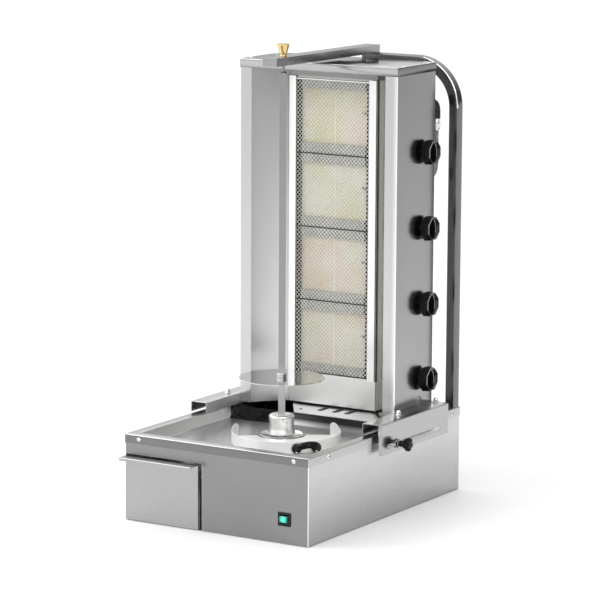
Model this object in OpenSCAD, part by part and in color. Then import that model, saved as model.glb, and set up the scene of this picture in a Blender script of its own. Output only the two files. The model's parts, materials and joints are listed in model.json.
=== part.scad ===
// Vertical rotisserie (doner grill): a flat base with a sunk pan, a sliding burner
// tower with four ceramic gas burners, and a motor-driven upright spit.
// X runs left to right, +Y to the back, +Z up. The origin is the centre of the
// footprint, on the surface that the base stands on.

/* [Base] */
// Width of the base
base_w = 492; // [480:1:520]
// Depth of the base
base_d = 689; // [680:1:720]
// Height of the base to the top of its lid
base_h = 202; // [195:1:215]
// Sheet thickness of the folded panels
sheet = 1.2; // [1:0.1:1.5]
// Height of the lid's turned-down skirt
skirt_h = 20.5; // [16:0.5:24]
// Width of the lid's flat rim beside the pan
rim_side = 24; // [22:1:28]
// Width of the lid's flat rim in front of the pan
rim_front = 28; // [24:1:34]
// Depth of the pan below the rim
pan_depth = 28; // [24:1:30]

/* [Drawer] */
// Width of the drawer front
drawer_w = 200; // [190:1:204]
// Height of the drawer front
drawer_h = 152; // [145:1:156]
// How far the drawer's lip stands out
lip_out = 32; // [24:1:36]
// Depth of the drawer behind its front
drawer_d = 542; // [530:1:545]

/* [Tower] */
// Width of the burner tower
tower_w = 427.5; // [420:0.5:430]
// Depth of the burner tower
tower_d = 179; // [170:1:185]
// Height of the tower's top above the floor
tower_top = 1030; // [1020:1:1034]
// Distance of the tower's front behind the base's centre line
tower_front = 87; // [85:1:95]
// Height of the tower's lower edge above the floor
tower_bottom = 208; // [207:0.5:212]
// Width of each front flange of the tower
flange_w = 32; // [28:1:34]
// Depth of the burner plane behind the tower's front
niche_d = 71; // [66:1:74]
// Half width of the burner panel between the side reflectors
panel_half = 120; // [118:1:124]

/* [Burners] */
// Number of gas burners, one above the other
burners = 4; // [4]
// Height pitch of the burners
burner_pitch = 176; // [174:1:178]
// Height of the lowest burner's lower edge
burner_z = 282; // [278:1:286]
// Width of one ceramic tile
tile_w = 92; // [90:1:92]
// Height of one ceramic tile
tile_h = 132; // [128:1:134]
// Thickness of a ceramic tile
tile_t = 13; // [12:0.5:14]

/* [Gas] */
// Height of the lowest gas knob's axis
knob_z = 288.5; // [286:0.5:290]
// Height pitch of the gas knobs
knob_pitch = 178.8; // [178:0.1:179]
// Distance of the knob axes behind the base's centre line
knob_y = 214.5; // [212:0.5:216]
// Across-flats size of a gas knob
knob_d = 57; // [48:1:60]

/* [Spit] */
// Sideways place of the spit's axis
spit_x = -6; // [-8:1:8]
// Place of the spit's axis along the base
spit_y = -54.5; // [-60:0.5:-50]
// Side of the square spit bar
spit_side = 16; // [14:0.5:16]
// Height of the spit bar's shoulder
spit_top = 1022; // [1018:1:1024]
// Diameter of the meat disc
disc_d = 200; // [180:1:204]
// Height of the meat disc above the floor
disc_z = 309; // [300:1:320]
// Quarter turn angle of the bar at rest
spit_turn = 32; // [0:1:45]

/* [Slide] */
// Front end of the two rails, measured from the base's centre line
rail_front = -57.5; // [-62:0.5:-52]
// Rear end of the two rails
rail_rear = 258; // [250:1:262]
// Height of the rails
rail_h = 26; // [24:1:28]
// Outer face of the rails
rail_out = 257; // [255:1:258]
// Outer face of the slotted slide plate
plate_out = 266; // [265:1:268]
// Lower edge of the slide plate
plate_low = 157; // [150:1:160]
// Place of the clamp stud along the base
clamp_y = 13.5; // [10:0.5:20]
// Height of the clamp stud
clamp_z = 175; // [172:1:177]

/* [Support] */
// Side of the square support tube
tube_side = 25; // [22:1:25]
// Outer bend radius of the support tube
tube_bend = 118; // [100:1:130]
// Width of the top arm
arm_w = 38; // [34:1:42]
// Height of the top arm
arm_h = 19; // [18:1:20]
// Small yaw of the arm about the spit's axis
arm_yaw = -1.2; // [-2:0.1:2]

/* [Scoop] */
// Radius of the meat scoop's wall
scoop_r = 126; // [110:1:128]
// Sideways place of the scoop's centre
scoop_x = 43; // [34:1:46]
// Place of the scoop's centre along the base
scoop_y = -113; // [-116:1:-108]
// Height of the scoop's wall in the middle
scoop_h = 27; // [20:1:28]

/* [Hidden] */

$fn = 64;
cut = 1;                               // overshoot of a cutting solid
fit = 0.05;                            // radial running clearance of a shaft
gap = 0.3;                             // clearance between pieces that slide past each other
half_w = base_w / 2;
half_d = base_d / 2;
lid_out = 1.2;                         // how far the lid's skirt stands outside the shell
pan_floor = base_h - pan_depth;        // top of the pan's floor
pan_rear = 66;                         // rear edge of the pan, where the deck starts
pan_slope = 8;                         // inward slope of the pan's side walls
pan_rear_slope = 15;                   // forward slope of the pan's rear wall
drop_x0 = -214;                        // the opening above the drawer
drop_x1 = -50;
drop_y1 = 196;
drawer_x0 = -half_w + sheet + 2.3;     // left edge of the drawer front
drawer_x1 = drawer_x0 + drawer_w;
bay_x = drawer_x1 + 5;                 // wall between drawer and motor
drawer_y0 = -half_d;
shell_z = 2;                           // shadow gap under the shell's lower edge
floor_t = 2;                           // thickness of the bottom plate
switch_x = 184;
switch_z = 57;
switch_w = 32;
switch_h = 31;
bezel_out = 3;                         // how far the switch bezel stands out
gland_x = 150;
gland_z = 60;
clamp_r = 4;                           // M8 stud
half_t = tower_w / 2;
tower_rear = tower_front + tower_d;
burner_y = tower_front + niche_d;      // front face of the burner panel
mesh_half = 101;                       // half width of the mesh guard
mesh_top = burner_z + burners * burner_pitch;
flange_in = half_t - flange_w;
tile_y = burner_y + 10;                // front face of the ceramic tiles
plenum_h = 160;
plenum_d = 46;
mix_r = 13;                            // radius of the mixing tubes
sensor_y = burner_y + 6;
sensor_r = 1.3;
sensor_lift = 12;
valve_x0 = 150;                        // inner end of the valves
valve_x1 = 200;
spindle_r = 4;
knob_in = half_t + 8;                  // rear face of the gas knobs
knob_t = 22;                           // thickness of a knob's body
knob_taper = 0.92;                     // size of a knob's face over its rear
knob_press = 4;                        // travel of a knob when it is pressed
pipe_x = 196;                          // gas pipe behind the tower
pipe_out = 34;                         // distance of the pipe from the rear panel
elbow_z = 932;
hose_low = 756;                        // height at which the hose returns
hose_r = 7;
inlet_x = 120;                         // gas inlet stub at the tower's back
inlet_z = 262;
inlet_r = 10.4;
rail_top = base_h + gap + rail_h;
nut_x = 236;
shaft_r = 8;
hub_z = pan_floor + 4.5;               // lower face of the hub
hub_h = 46;
pin_r = 3.5;                           // pin on top of the spit bar
arm_z = spit_top + 15;                 // lower face of the arm
stem_r = 7;
arm_front = 57;                        // arm length in front of the spit's axis
arm_back = 390;                        // arm length behind it
tube_x = half_w - 1.5 - tube_side / 2; // centre of the upright tube
tube_y = half_d - 1.5 - tube_side / 2;
tube_top = arm_z;                      // top face of the tube's level part
tube_wall = 2;
tube_end = -18;                        // left end of the tube's level part
scoop_a0 = 184;                        // the scoop's wall runs from here
scoop_a1 = 427;                        // to here, counted anticlockwise
scoop_t = 1.5;
horn_h = 34;                           // height of the wall at its two ends
handle_a = 323;                        // where the handle sits on the wall

steel = [0.78, 0.79, 0.80];
bright = [0.88, 0.88, 0.89];
dark = [0.12, 0.12, 0.13];
cream = [0.93, 0.90, 0.78];
brassy = [0.80, 0.63, 0.30];

// A box given by its two corners
module span(a, b) {
  translate(a) cube([b[0] - a[0], b[1] - a[1], b[2] - a[2]]);
}

// A round bar along X, starting at p
module bar_x(p, r, len) {
  translate(p) rotate([0, 90, 0]) cylinder(r = r, h = len);
}

// A round bar along Y, starting at p
module bar_y(p, r, len) {
  translate(p) rotate([-90, 0, 0]) cylinder(r = r, h = len);
}

// A domed screw head whose flat side lies at the origin, with its dome towards +Z
module dome_head(r, h) {
  rotate_extrude() intersection() {
    translate([0, h - (r * r + h * h) / (2 * h)]) circle(r = (r * r + h * h) / (2 * h), $fn = 96);
    square([r, h]);
  }
}

// An acorn nut on its washer, standing on the origin
module acorn_nut(flat_r) {
  cylinder(r = flat_r * 1.5, h = 1.2);
  translate([0, 0, 1.2]) cylinder(r = flat_r * 1.15, h = 5, $fn = 6);
  translate([0, 0, 6.2]) rotate_extrude() intersection() {
    circle(r = flat_r);
    square([flat_r, flat_r]);
  }
}

// The inside of the pan as a solid, larger by t on every wall and under its floor
module pan_solid(t) {
  x1 = half_w - rim_side;
  y0 = -half_d + rim_front;
  top = base_h + cut;
  intersection() {
    translate([0, half_d, 0]) rotate([90, 0, 0]) linear_extrude(height = base_d)
      polygon([[-x1 - t, top], [-x1 - t, base_h], [-x1 + pan_slope - t, pan_floor - t],
               [x1 - pan_slope + t, pan_floor - t], [x1 + t, base_h], [x1 + t, top]]);
    translate([-half_w, 0, 0]) rotate([90, 0, 90]) linear_extrude(height = base_w)
      polygon([[y0 - t, top], [y0 - t, base_h], [y0 + pan_slope - t, pan_floor - t],
               [pan_rear - pan_rear_slope + t, pan_floor - t], [pan_rear + t, base_h],
               [pan_rear + t, top]]);
  }
}

// ---------------------------------------------------------------- base

// Folded sides of the base, with the drawer's opening and the switch cut-out
module base_shell() {
  color(steel) difference() {
    span([-half_w, -half_d, shell_z], [half_w, half_d, base_h - sheet - gap]);
    span([-half_w + sheet, -half_d + sheet, shell_z - cut], [half_w - sheet, half_d - sheet, base_h]);
    span([drawer_x0 - 1, -half_d - cut, shell_z - cut], [bay_x, -half_d + sheet + cut, drawer_h + 4]);
    span([switch_x - 13, -half_d - cut, switch_z - 12],
         [switch_x + 13, -half_d + sheet + cut, switch_z + 12]);
    bar_x([half_w - sheet - cut, clamp_y, clamp_z], 6, sheet + 2 * cut);
    bar_y([gland_x, half_d - sheet - cut, gland_z], 10, sheet + 2 * cut);
  }
}

// Flat bottom that the oven rests on
module bottom_plate() {
  inset = sheet + 1.5;
  color(steel) span([-half_w + inset, -half_d + inset, 0], [half_w - inset, half_d - inset, floor_t]);
}

// Lid with its skirt, the sunk pan and the opening above the drawer
module top_pan() {
  out_x = half_w + lid_out;
  out_y = half_d + lid_out;
  color(steel) difference() {
    union() {
      difference() {
        span([-out_x, -out_y, base_h - skirt_h], [out_x, out_y, base_h]);
        span([-out_x + 1, -out_y + 1, base_h - skirt_h - cut], [out_x - 1, out_y - 1, base_h - sheet]);
      }
      intersection() {
        pan_solid(sheet);
        span([-half_w, -half_d, 0], [half_w, half_d, base_h]);
      }
    }
    pan_solid(0);
    span([drop_x0, pan_rear - pan_rear_slope - 8, pan_floor - 5], [drop_x1, drop_y1, base_h + cut]);
    deck_slots();
    translate([spit_x, spit_y, 0]) cylinder(r = 14, h = base_h);
    span([tube_x - tube_side / 2 - 0.2, tube_y - tube_side / 2 - 0.2, base_h - 5],
         [tube_x + tube_side / 2 + 0.2, tube_y + tube_side / 2 + 0.2, base_h + cut]);
  }
}

// Loose deck sheet behind the pan, with three long slots
module deck_plate() {
  color(steel) difference() {
    translate([0, 0, base_h]) linear_extrude(height = 1.5)
      polygon([[-48, pan_rear + 2], [205, pan_rear + 2], [205, 216], [-112, 216], [-112, 165]]);
    deck_slots();
  }
}

// Three long drain slots through the deck sheet and the lid below it
module deck_slots() {
  slot_r = 4.5;
  y0 = 117;
  y1 = 148;
  for (x = [-6, 34, 68]) {
    for (y = [y0, y1]) translate([x, y, base_h - 4]) cylinder(r = slot_r, h = 8);
    span([x - slot_r, y0, base_h - 4], [x + slot_r, y1, base_h + 4]);
  }
}

// Partition that keeps fat away from the motor
module drawer_bay_wall() {
  color(steel) {
    span([bay_x, -half_d + sheet, 2], [bay_x + sheet, 206, pan_floor - 6]);
    span([-half_w + sheet, 206 - sheet, 2], [bay_x, 206, pan_floor - 6]);
  }
}

// Drawer below the drop opening: an open tray, its front and a lip to pull
module drawer() {
  z0 = 2.4;
  color(steel) {
    difference() {
      span([drawer_x0, drawer_y0, z0], [drawer_x1, drawer_y0 + drawer_d, 120]);
      span([drawer_x0 + sheet, drawer_y0 + 2, z0 + sheet],
           [drawer_x1 - sheet, drawer_y0 + drawer_d - sheet, 121]);
    }
    span([drawer_x0, drawer_y0, z0], [drawer_x1, drawer_y0 + 1.5, drawer_h + 0.5]);
    span([drawer_x0, drawer_y0 - lip_out, drawer_h - 1], [drawer_x1, drawer_y0 + 1.5, drawer_h + 0.5]);
    span([drawer_x0, drawer_y0 - lip_out, drawer_h - 7], [drawer_x1, drawer_y0 - lip_out + 1.5, drawer_h]);
  }
}

// Right-angle gear motor under the pan
module gear_motor() {
  color(dark) difference() {
    union() {
      translate([spit_x, spit_y, 0]) span([-26, -48, 112], [62, 48, 160]);
      bar_x([spit_x + 62, spit_y, 136], 34, 96);
      translate([spit_x, spit_y, 160]) cylinder(r = 18, h = 6);
    }
    translate([spit_x, spit_y, 104]) cylinder(r = shaft_r + fit, h = 70);
  }
}

// Folded bracket that holds the motor on the bottom plate
module motor_bracket() {
  color(steel) translate([spit_x, spit_y, 0]) difference() {
    union() {
      span([-24, -60, 2], [62, -57, 112]);
      span([-24, 57, 2], [62, 60, 112]);
      span([-24, -60, 109], [62, 60, 112]);
    }
    translate([0, 0, 100]) cylinder(r = shaft_r + 4, h = 20);
  }
}

// Dished ring with the shaft's bush, set in the pan's floor
module hub_ring() {
  color(bright) translate([spit_x, spit_y, 0]) rotate_extrude($fn = 96)
    polygon([[shaft_r + fit, pan_floor - 6], [12, pan_floor - 6], [12, pan_floor], [50, pan_floor],
             [51, pan_floor + 1], [51, pan_floor + 4], [49, pan_floor + 4], [46, pan_floor + 2],
             [shaft_r + fit, pan_floor + 2]]);
}

// Black frame of the mains switch
module switch_bezel() {
  y0 = -half_d - bezel_out;
  color(dark) difference() {
    union() {
      span([switch_x - switch_w / 2, y0, switch_z - switch_h / 2],
           [switch_x + switch_w / 2, -half_d, switch_z + switch_h / 2]);
      span([switch_x - 12.5, -half_d, switch_z - 11.7], [switch_x + 12.5, -half_d + 24, switch_z + 11.7]);
    }
    span([switch_x - 11, y0 - cut, switch_z - 10.5], [switch_x + 11, -half_d + 20, switch_z + 10.5]);
  }
}

// Green rocker on its pivot line
module switch_rocker() {
  pivot_y = -half_d + 6;
  color([0.1, 0.75, 0.5]) translate([switch_x, 0, switch_z]) {
    intersection() {
      bar_x([-10, pivot_y, 0], 13, 20);
      span([-10.4, -half_d - bezel_out - 5, -7.8], [10.4, pivot_y, 7.8]);
    }
    bar_x([-10, pivot_y, 0], 3, 20);
  }
}

// Strain relief of the mains lead, with its bore
module cable_gland() {
  color(dark) difference() {
    union() {
      bar_y([gland_x, half_d - 12, gland_z], 9.5, 12);
      translate([gland_x, half_d, gland_z]) rotate([-90, 0, 0]) cylinder(r = 14, h = 6, $fn = 6);
      bar_y([gland_x, half_d + 6, gland_z], 10, 12);
    }
    bar_y([gland_x, half_d - 13, gland_z], 4, 40);
  }
}

// Lid screws on the skirt's front and sides
module base_fasteners() {
  z = base_h - 11;
  color(bright) {
    for (x = [-209, 207]) {
      translate([x, -half_d - lid_out, z]) rotate([90, 0, 0]) dome_head(5.6, 3);
    }
    for (y = [-259, 305], s = [-1, 1]) {
      translate([s * (half_w + lid_out), y, z]) rotate([0, s * 90, 0]) dome_head(5.6, 3);
    }
  }
}

// Threaded boss on the base's side that the slide plate is clamped against
module clamp_boss() {
  x1 = plate_out - 1.5 - gap;
  color(bright) difference() {
    union() {
      bar_x([half_w, clamp_y, clamp_z], 6.2, x1 - half_w);
      bar_x([half_w - 14, clamp_y, clamp_z], 5.9, 15);
    }
    bar_x([half_w - 15, clamp_y, clamp_z], clamp_r + fit, 50);
  }
}

// Star grip with its stud
module clamp_knob() {
  x0 = plate_out + gap + 2.4;
  neck_l = 20;
  grip_r = 16;
  color(dark) {
    bar_x([half_w - 12, clamp_y, clamp_z], clamp_r, x0 - half_w + 13);
    bar_x([x0, clamp_y, clamp_z], 10.8, 2.4);
    bar_x([x0, clamp_y, clamp_z], 8.5, neck_l);
    translate([x0 + neck_l - 1, clamp_y, clamp_z]) rotate([0, 90, 0]) linear_extrude(height = 13) difference() {
      circle(r = grip_r);
      for (k = [0 : 4]) rotate(k * 72 + 18) translate([grip_r + 4, 0]) circle(r = 8);
    }
  }
}

// Washer between the star grip and the slide plate
module clamp_washers() {
  color(bright) difference() {
    bar_x([plate_out + gap, clamp_y, clamp_z], 9.5, 2.2);
    bar_x([plate_out, clamp_y, clamp_z], clamp_r + 0.3, 4);
  }
}

// ---------------------------------------------------------------- support

// Square tube: upright at the rear right corner, one bend, level at the top
module support_tube() {
  bend_x = tube_x + tube_side / 2 - tube_bend;
  bend_z = tube_top - tube_bend;
  mid = tube_bend - tube_side / 2;
  hollow = tube_side - 2 * tube_wall;
  color(steel) translate([0, tube_y, 0]) {
    translate([tube_x, 0, floor_t]) linear_extrude(height = bend_z - floor_t) difference() {
      square(tube_side, center = true);
      square(hollow, center = true);
    }
    translate([bend_x, 0, bend_z]) rotate([90, 0, 0]) rotate_extrude(angle = 90, $fn = 96)
      translate([mid, 0]) difference() {
        square(tube_side, center = true);
        square(hollow, center = true);
      }
    translate([tube_end, 0, bend_z + mid]) rotate([90, 0, 90])
      linear_extrude(height = bend_x - tube_end) difference() {
        square(tube_side, center = true);
        square(hollow, center = true);
      }
  }
}

// Inverted channel from the tube to the spit's axis
module top_arm() {
  w = arm_w / 2;
  color(steel) translate([spit_x, spit_y, arm_z]) rotate([0, 0, arm_yaw]) difference() {
    span([-w, -arm_front, 0], [w, arm_back, arm_h]);
    span([-w + 2, -arm_front + 2, -cut], [w - 2, arm_back + cut, arm_h - 2]);
    translate([0, 0, -cut]) cylinder(r = stem_r + fit, h = arm_h + 2 * cut);
  }
}

// Guide bush under the arm for the pull knob's stem
module pin_bush() {
  color(bright) translate([spit_x, spit_y, arm_z + 4]) difference() {
    cylinder(r = 12, h = arm_h - 6);
    translate([0, 0, -cut]) cylinder(r = stem_r + fit, h = arm_h);
  }
}

// Conical pull knob whose hollow stem holds the spit's top pin
module pin_knob() {
  z0 = arm_z + 1;
  z1 = arm_z + arm_h;
  color(brassy) translate([spit_x, spit_y, 0]) difference() {
    rotate_extrude($fn = 96)
      polygon([[0, z0], [stem_r, z0], [stem_r, z1 + 1], [7.6, z1 + 1], [7.6, z1 + 3],
               [13.6, z1 + 25], [14.2, z1 + 26.5], [14.2, z1 + 28.5], [13.2, z1 + 29.4], [0, z1 + 29.4]]);
    translate([0, 0, z0 - cut]) cylinder(r = pin_r + fit, h = 16);
  }
}

// ---------------------------------------------------------------- spit

// Output shaft of the motor
module drive_shaft() {
  color(bright) translate([spit_x, spit_y, 116]) cylinder(r = shaft_r, h = hub_z + 14 - 116);
}

// Cast coupling that carries the spit
module drive_hub() {
  color(bright) translate([spit_x, spit_y, 0]) difference() {
    rotate_extrude($fn = 96)
      polygon([[0, hub_z], [31, hub_z], [32, hub_z + 2], [31, hub_z + 6], [29.2, hub_z + 13],
               [28.6, hub_z + 22], [29, hub_z + 32], [29.8, hub_z + 39], [28.8, hub_z + 43.5],
               [25.5, hub_z + hub_h], [0, hub_z + hub_h]]);
    translate([0, 0, hub_z - cut]) cylinder(r = shaft_r + fit, h = 16);
    rotate([0, 0, spit_turn]) translate([0, 0, hub_z + 16 + hub_h / 2])
      cube([spit_side + 0.4, spit_side + 0.4, hub_h], center = true);
    rotate([0, 0, -45]) bar_x([10, 0, hub_z + 34], 3, 30);
  }
}

// Clamp screw in the side of the hub
module hub_screw() {
  color(bright) translate([spit_x, spit_y, 0]) rotate([0, 0, -45]) {
    bar_x([11.5, 0, hub_z + 34], 2.9, 20);
    bar_x([30.5, 0, hub_z + 34], 5, 4);
  }
}

// Square spit with a bevelled shoulder and a round top pin
module spit_bar() {
  s = spit_side / 2;
  z0 = hub_z + 16;
  color(steel) translate([spit_x, spit_y, 0]) rotate([0, 0, spit_turn]) {
    intersection() {
      span([-s, -s, z0], [s, s, spit_top]);
      rotate_extrude() polygon([[0, z0], [20, z0], [20, spit_top - 14], [5, spit_top], [0, spit_top]]);
    }
    translate([0, 0, spit_top - 1]) cylinder(r = pin_r, h = 28);
  }
}

// Round plate that the meat rests on
module meat_disc() {
  color(bright) translate([spit_x, spit_y, disc_z]) difference() {
    cylinder(r = disc_d / 2, h = 2.5, $fn = 128);
    rotate([0, 0, spit_turn]) cube([spit_side + 0.3, spit_side + 0.3, 10], center = true);
  }
}

// Collar that fixes the disc on the bar
module disc_collar() {
  color(bright) translate([spit_x, spit_y, disc_z + 2.5]) difference() {
    cylinder(r = 12, h = 10);
    rotate([0, 0, spit_turn]) cube([spit_side + 0.2, spit_side + 0.2, 30], center = true);
  }
}

// ---------------------------------------------------------------- slide

// Channel on the right of the tower, seen from its front, as a flat outline
module rail_profile() {
  t = 1.5;
  z0 = base_h + gap;
  difference() {
    translate([half_t, z0]) square([rail_out - half_t, rail_h]);
    translate([half_t + t, z0 - cut]) square([rail_out - half_t - 2 * t, rail_h - t + cut]);
  }
}

// Left rail, bolted to the tower's foot
module left_rail() {
  color(steel) difference() {
    mirror([1, 0, 0]) translate([0, rail_rear, 0]) rotate([90, 0, 0])
      linear_extrude(height = rail_rear - rail_front) rail_profile();
    for (y = [69.5, 244]) translate([-nut_x, y, rail_top - 5]) cylinder(r = 3.2, h = 10);
  }
}

// Right rail with its slotted slide plate and the plate's front return
module right_rail() {
  t = 1.5;
  y1 = rail_rear - 6;
  slot_y0 = rail_front + 28;
  slot_y1 = rail_front + 268;
  color(steel) difference() {
    union() {
      translate([0, rail_rear, 0]) rotate([90, 0, 0])
        linear_extrude(height = rail_rear - rail_front) rail_profile();
      span([rail_out - t, rail_front, rail_top - t], [plate_out, y1, rail_top]);
      span([plate_out - t, rail_front, plate_low], [plate_out, y1, rail_top]);
      span([rail_out, rail_front, plate_low], [plate_out, rail_front + t, rail_top]);
    }
    bar_x([plate_out - 5, slot_y0, clamp_z], 4.5, 10);
    bar_x([plate_out - 5, slot_y1, clamp_z], 4.5, 10);
    span([plate_out - 5, slot_y0, clamp_z - 4.5], [plate_out + 5, slot_y1, clamp_z + 4.5]);
    for (y = [69.5, 244]) translate([nut_x, y, rail_top - 5]) cylinder(r = 3.2, h = 10);
  }
}

// ---------------------------------------------------------------- tower

// Acorn nuts on the rails and screws on the top cover
module tower_fasteners() {
  color(bright) {
    for (s = [-1, 1], y = [69.5, 244]) {
      translate([s * nut_x, y, rail_top]) acorn_nut(5.5);
    }
    for (s = [-1, 1], y = [tower_front + 39, tower_rear - 25]) {
      translate([s * (half_t - 6), y, tower_top]) dome_head(4, 2);
    }
  }
}

// Sides, back and front flanges of the tower in one folded sheet
module tower_shell() {
  color(steel) difference() {
    span([-half_t, tower_front, tower_bottom], [half_t, tower_rear, tower_top - sheet]);
    span([-half_t + sheet, tower_front + sheet, tower_bottom - cut],
         [half_t - sheet, tower_rear - sheet, tower_top]);
    span([-flange_in, tower_front - cut, tower_bottom - cut],
         [flange_in, tower_front + sheet + cut, tower_top]);
    for (k = [0 : burners - 1]) bar_x([half_t - 5, knob_y, knob_z + k * knob_pitch], 6, 10);
    for (z = [elbow_z, hose_low]) bar_y([pipe_x, tower_rear - 5, z], 12.5, 10);
    bar_y([inlet_x, tower_rear - 5, inlet_z], 9, 10);
  }
}

// Cover with a turned-down lip
module top_cover() {
  o = 0.8;
  color(steel) difference() {
    span([-half_t - o, tower_front - o, tower_top - 20.5], [half_t + o, tower_rear + o, tower_top]);
    span([-half_t, tower_front, tower_top - 21], [half_t, tower_rear, tower_top - sheet]);
  }
}

// Splayed mirror sheet between a flange and the burner panel, on the right side
module reflector() {
  z0 = tower_bottom + 0.5;
  translate([0, 0, z0]) linear_extrude(height = tower_top - 21 - z0)
    polygon([[panel_half + 0.5, burner_y], [flange_in + 1, tower_front + sheet + 0.3],
             [flange_in + 3, tower_front + sheet + 0.3], [panel_half + 2.5, burner_y + 1]]);
}

module left_reflector() {
  color(bright) mirror([1, 0, 0]) reflector();
}

module right_reflector() {
  color(bright) reflector();
}

// Front sheet around the burners, down to the tower's foot
module burner_panel() {
  color(steel) difference() {
    span([-panel_half, burner_y, tower_bottom + 0.5], [panel_half, burner_y + 1.2, tower_top - 22]);
    span([-mesh_half - 1, burner_y - cut, burner_z], [mesh_half + 1, burner_y + 2, mesh_top]);
  }
}

// Bright angle trims that hold the mesh at its two sides
module guard_trims() {
  color(bright) for (s = [-1, 1]) {
    x0 = min(s * 100, s * (panel_half - 0.5));
    x1 = max(s * 100, s * (panel_half - 0.5));
    leg = s > 0 ? x1 - 1.2 : x0;
    span([x0, burner_y - 5, burner_z - 4], [x1, burner_y - 3.8, mesh_top + 4]);
    span([leg, burner_y - 5, burner_z - 4], [leg + 1.2, burner_y, mesh_top + 4]);
  }
}

// Guard in front of the burners: its frame and a coarse grid of bars
module mesh_guard() {
  y0 = burner_y - 3;
  y1 = burner_y - 1;
  step = burner_pitch / 6;
  col = (mesh_half - 3) / 3;
  color(steel) {
    difference() {
      span([-mesh_half, y0, burner_z + 0.5], [mesh_half, y1, mesh_top - 0.5]);
      for (j = [0 : 6 * burners - 1], i = [-3 : 2]) {
        span([i * col + 1, y0 - cut, burner_z + j * step + 1.5],
             [(i + 1) * col - 1, y1 + cut, burner_z + (j + 1) * step - 1.5]);
      }
    }
  }
}

// One burner: flanged plenum with its mixing tube from the valve
module burner_body(k) {
  z0 = burner_z + k * burner_pitch;
  mid = z0 + burner_pitch / 2;
  kz = knob_z + k * knob_pitch;
  y0 = burner_y + 1.2;
  w = tile_w + 5;
  color(steel) difference() {
    union() {
      span([-mesh_half - 9, y0, z0 + 1], [mesh_half + 9, y0 + 1.5, z0 + burner_pitch - 1]);
      span([-w, y0, mid - plenum_h / 2], [w, tile_y + plenum_d, mid + plenum_h / 2]);
      bar_x([40, knob_y, kz], mix_r, valve_x0 - 45);
    }
    span([-tile_w + 1, y0 - cut, mid - tile_h / 2 + 1], [tile_w - 1, tile_y, mid + tile_h / 2 - 1]);
    span([-tile_w - gap, tile_y - 0.5, mid - tile_h / 2 - gap],
         [tile_w + gap, tile_y + plenum_d - 2, mid + tile_h / 2 + gap]);
    bar_x([60, knob_y, kz], mix_r - 2, valve_x0);
    bar_x([tile_w - 2, sensor_y, mid + sensor_lift], sensor_r + 0.1, 20);
  }
}

// Two ceramic tiles side by side, with a fine joint between them
module ceramic_tiles(k) {
  mid = burner_z + (k + 0.5) * burner_pitch;
  color(cream) for (s = [0, 1]) {
    span([s * tile_w - tile_w + 0.3, tile_y, mid - tile_h / 2],
         [s * tile_w - 0.3, tile_y + tile_t, mid + tile_h / 2]);
  }
}

// Flame sensors, one at the right of each burner
module thermocouples() {
  color(dark) for (k = [0 : burners - 1]) {
    z = burner_z + (k + 0.5) * burner_pitch + sensor_lift;
    bar_x([tile_w - 9, sensor_y, z], sensor_r, 30);
    bar_x([tile_w + 6, sensor_y, z], 2.8, 10);
  }
}

// Gas valves with their spindle bores
module gas_valves() {
  color(brassy) for (k = [0 : burners - 1]) {
    z = knob_z + k * knob_pitch;
    difference() {
      union() {
        bar_x([valve_x0, knob_y, z], 12, valve_x1 - valve_x0);
        bar_x([valve_x0 - 8, knob_y, z], 5, 10);
        bar_y([(valve_x0 + valve_x1) / 2, knob_y + 8, z], 6.5, 7);
      }
      bar_x([valve_x0 + 15, knob_y, z], spindle_r + fit, 60);
    }
  }
}

// Supply riser from the inlet stub to the elbow, and the manifold that feeds the valves
module gas_manifold() {
  x = (valve_x0 + valve_x1) / 2;
  y = knob_y + 24;
  riser_y = tower_rear - 16;
  color(steel) {
    translate([x, y, 260]) cylinder(r = 9, h = 590);
    for (k = [0 : burners - 1]) bar_y([x, knob_y + 15, knob_z + k * knob_pitch], 5, 10);
    for (z = [330, 780]) span([x - 10, y, z], [x + 10, tower_rear - sheet, z + 3]);
    bar_x([x, y, hose_low], 6, pipe_x - x + 6);
    bar_y([pipe_x, y, hose_low], 6, tower_rear - y - 2);
    translate([inlet_x, riser_y, inlet_z - 8]) cylinder(r = 8, h = elbow_z - inlet_z + 16);
    bar_y([inlet_x, riser_y, inlet_z], 7, tower_rear + 1 - riser_y);
    bar_y([inlet_x, tower_rear + 0.5, inlet_z], inlet_r, 20);
    bar_x([inlet_x, riser_y, elbow_z], 6, pipe_x - inlet_x + 6);
    bar_y([pipe_x, riser_y, elbow_z], 6, 6);
  }
}

// Black elbow that leaves the tower's back and turns down
module gas_elbow() {
  r = 11;
  bend = 22;
  y1 = tower_rear + pipe_out;
  color(dark) {
    bar_y([pipe_x, tower_rear - 10, elbow_z], r, pipe_out - bend + 10);
    translate([pipe_x, y1 - bend, elbow_z - bend]) rotate([90, 0, 90]) rotate_extrude(angle = 90)
      translate([bend, 0]) circle(r = r);
    translate([pipe_x, y1, elbow_z - bend - 16]) cylinder(r = r, h = 16);
  }
}

// Hexagon union between elbow and hose
module gas_fitting() {
  color(bright) translate([pipe_x, tower_rear + pipe_out, elbow_z - 60]) {
    cylinder(r = 12.5, h = 12, $fn = 6);
    translate([0, 0, 12]) cylinder(r = 9, h = 10);
    translate([0, 0, -6]) cylinder(r = 9, h = 6);
  }
}

// Braided hose from the union back into the tower
module gas_hose() {
  top = elbow_z - 66;
  color([0.6, 0.6, 0.6]) {
    translate([pipe_x, tower_rear + pipe_out, hose_low + pipe_out])
      cylinder(r = hose_r, h = top - hose_low - pipe_out);
    translate([pipe_x, tower_rear, hose_low + pipe_out]) rotate([90, 0, 90]) rotate([0, 0, -90])
      rotate_extrude(angle = 90) translate([pipe_out, 0]) circle(r = hose_r);
    bar_y([pipe_x, tower_rear - 2, hose_low], hose_r, 2);
  }
}

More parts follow.
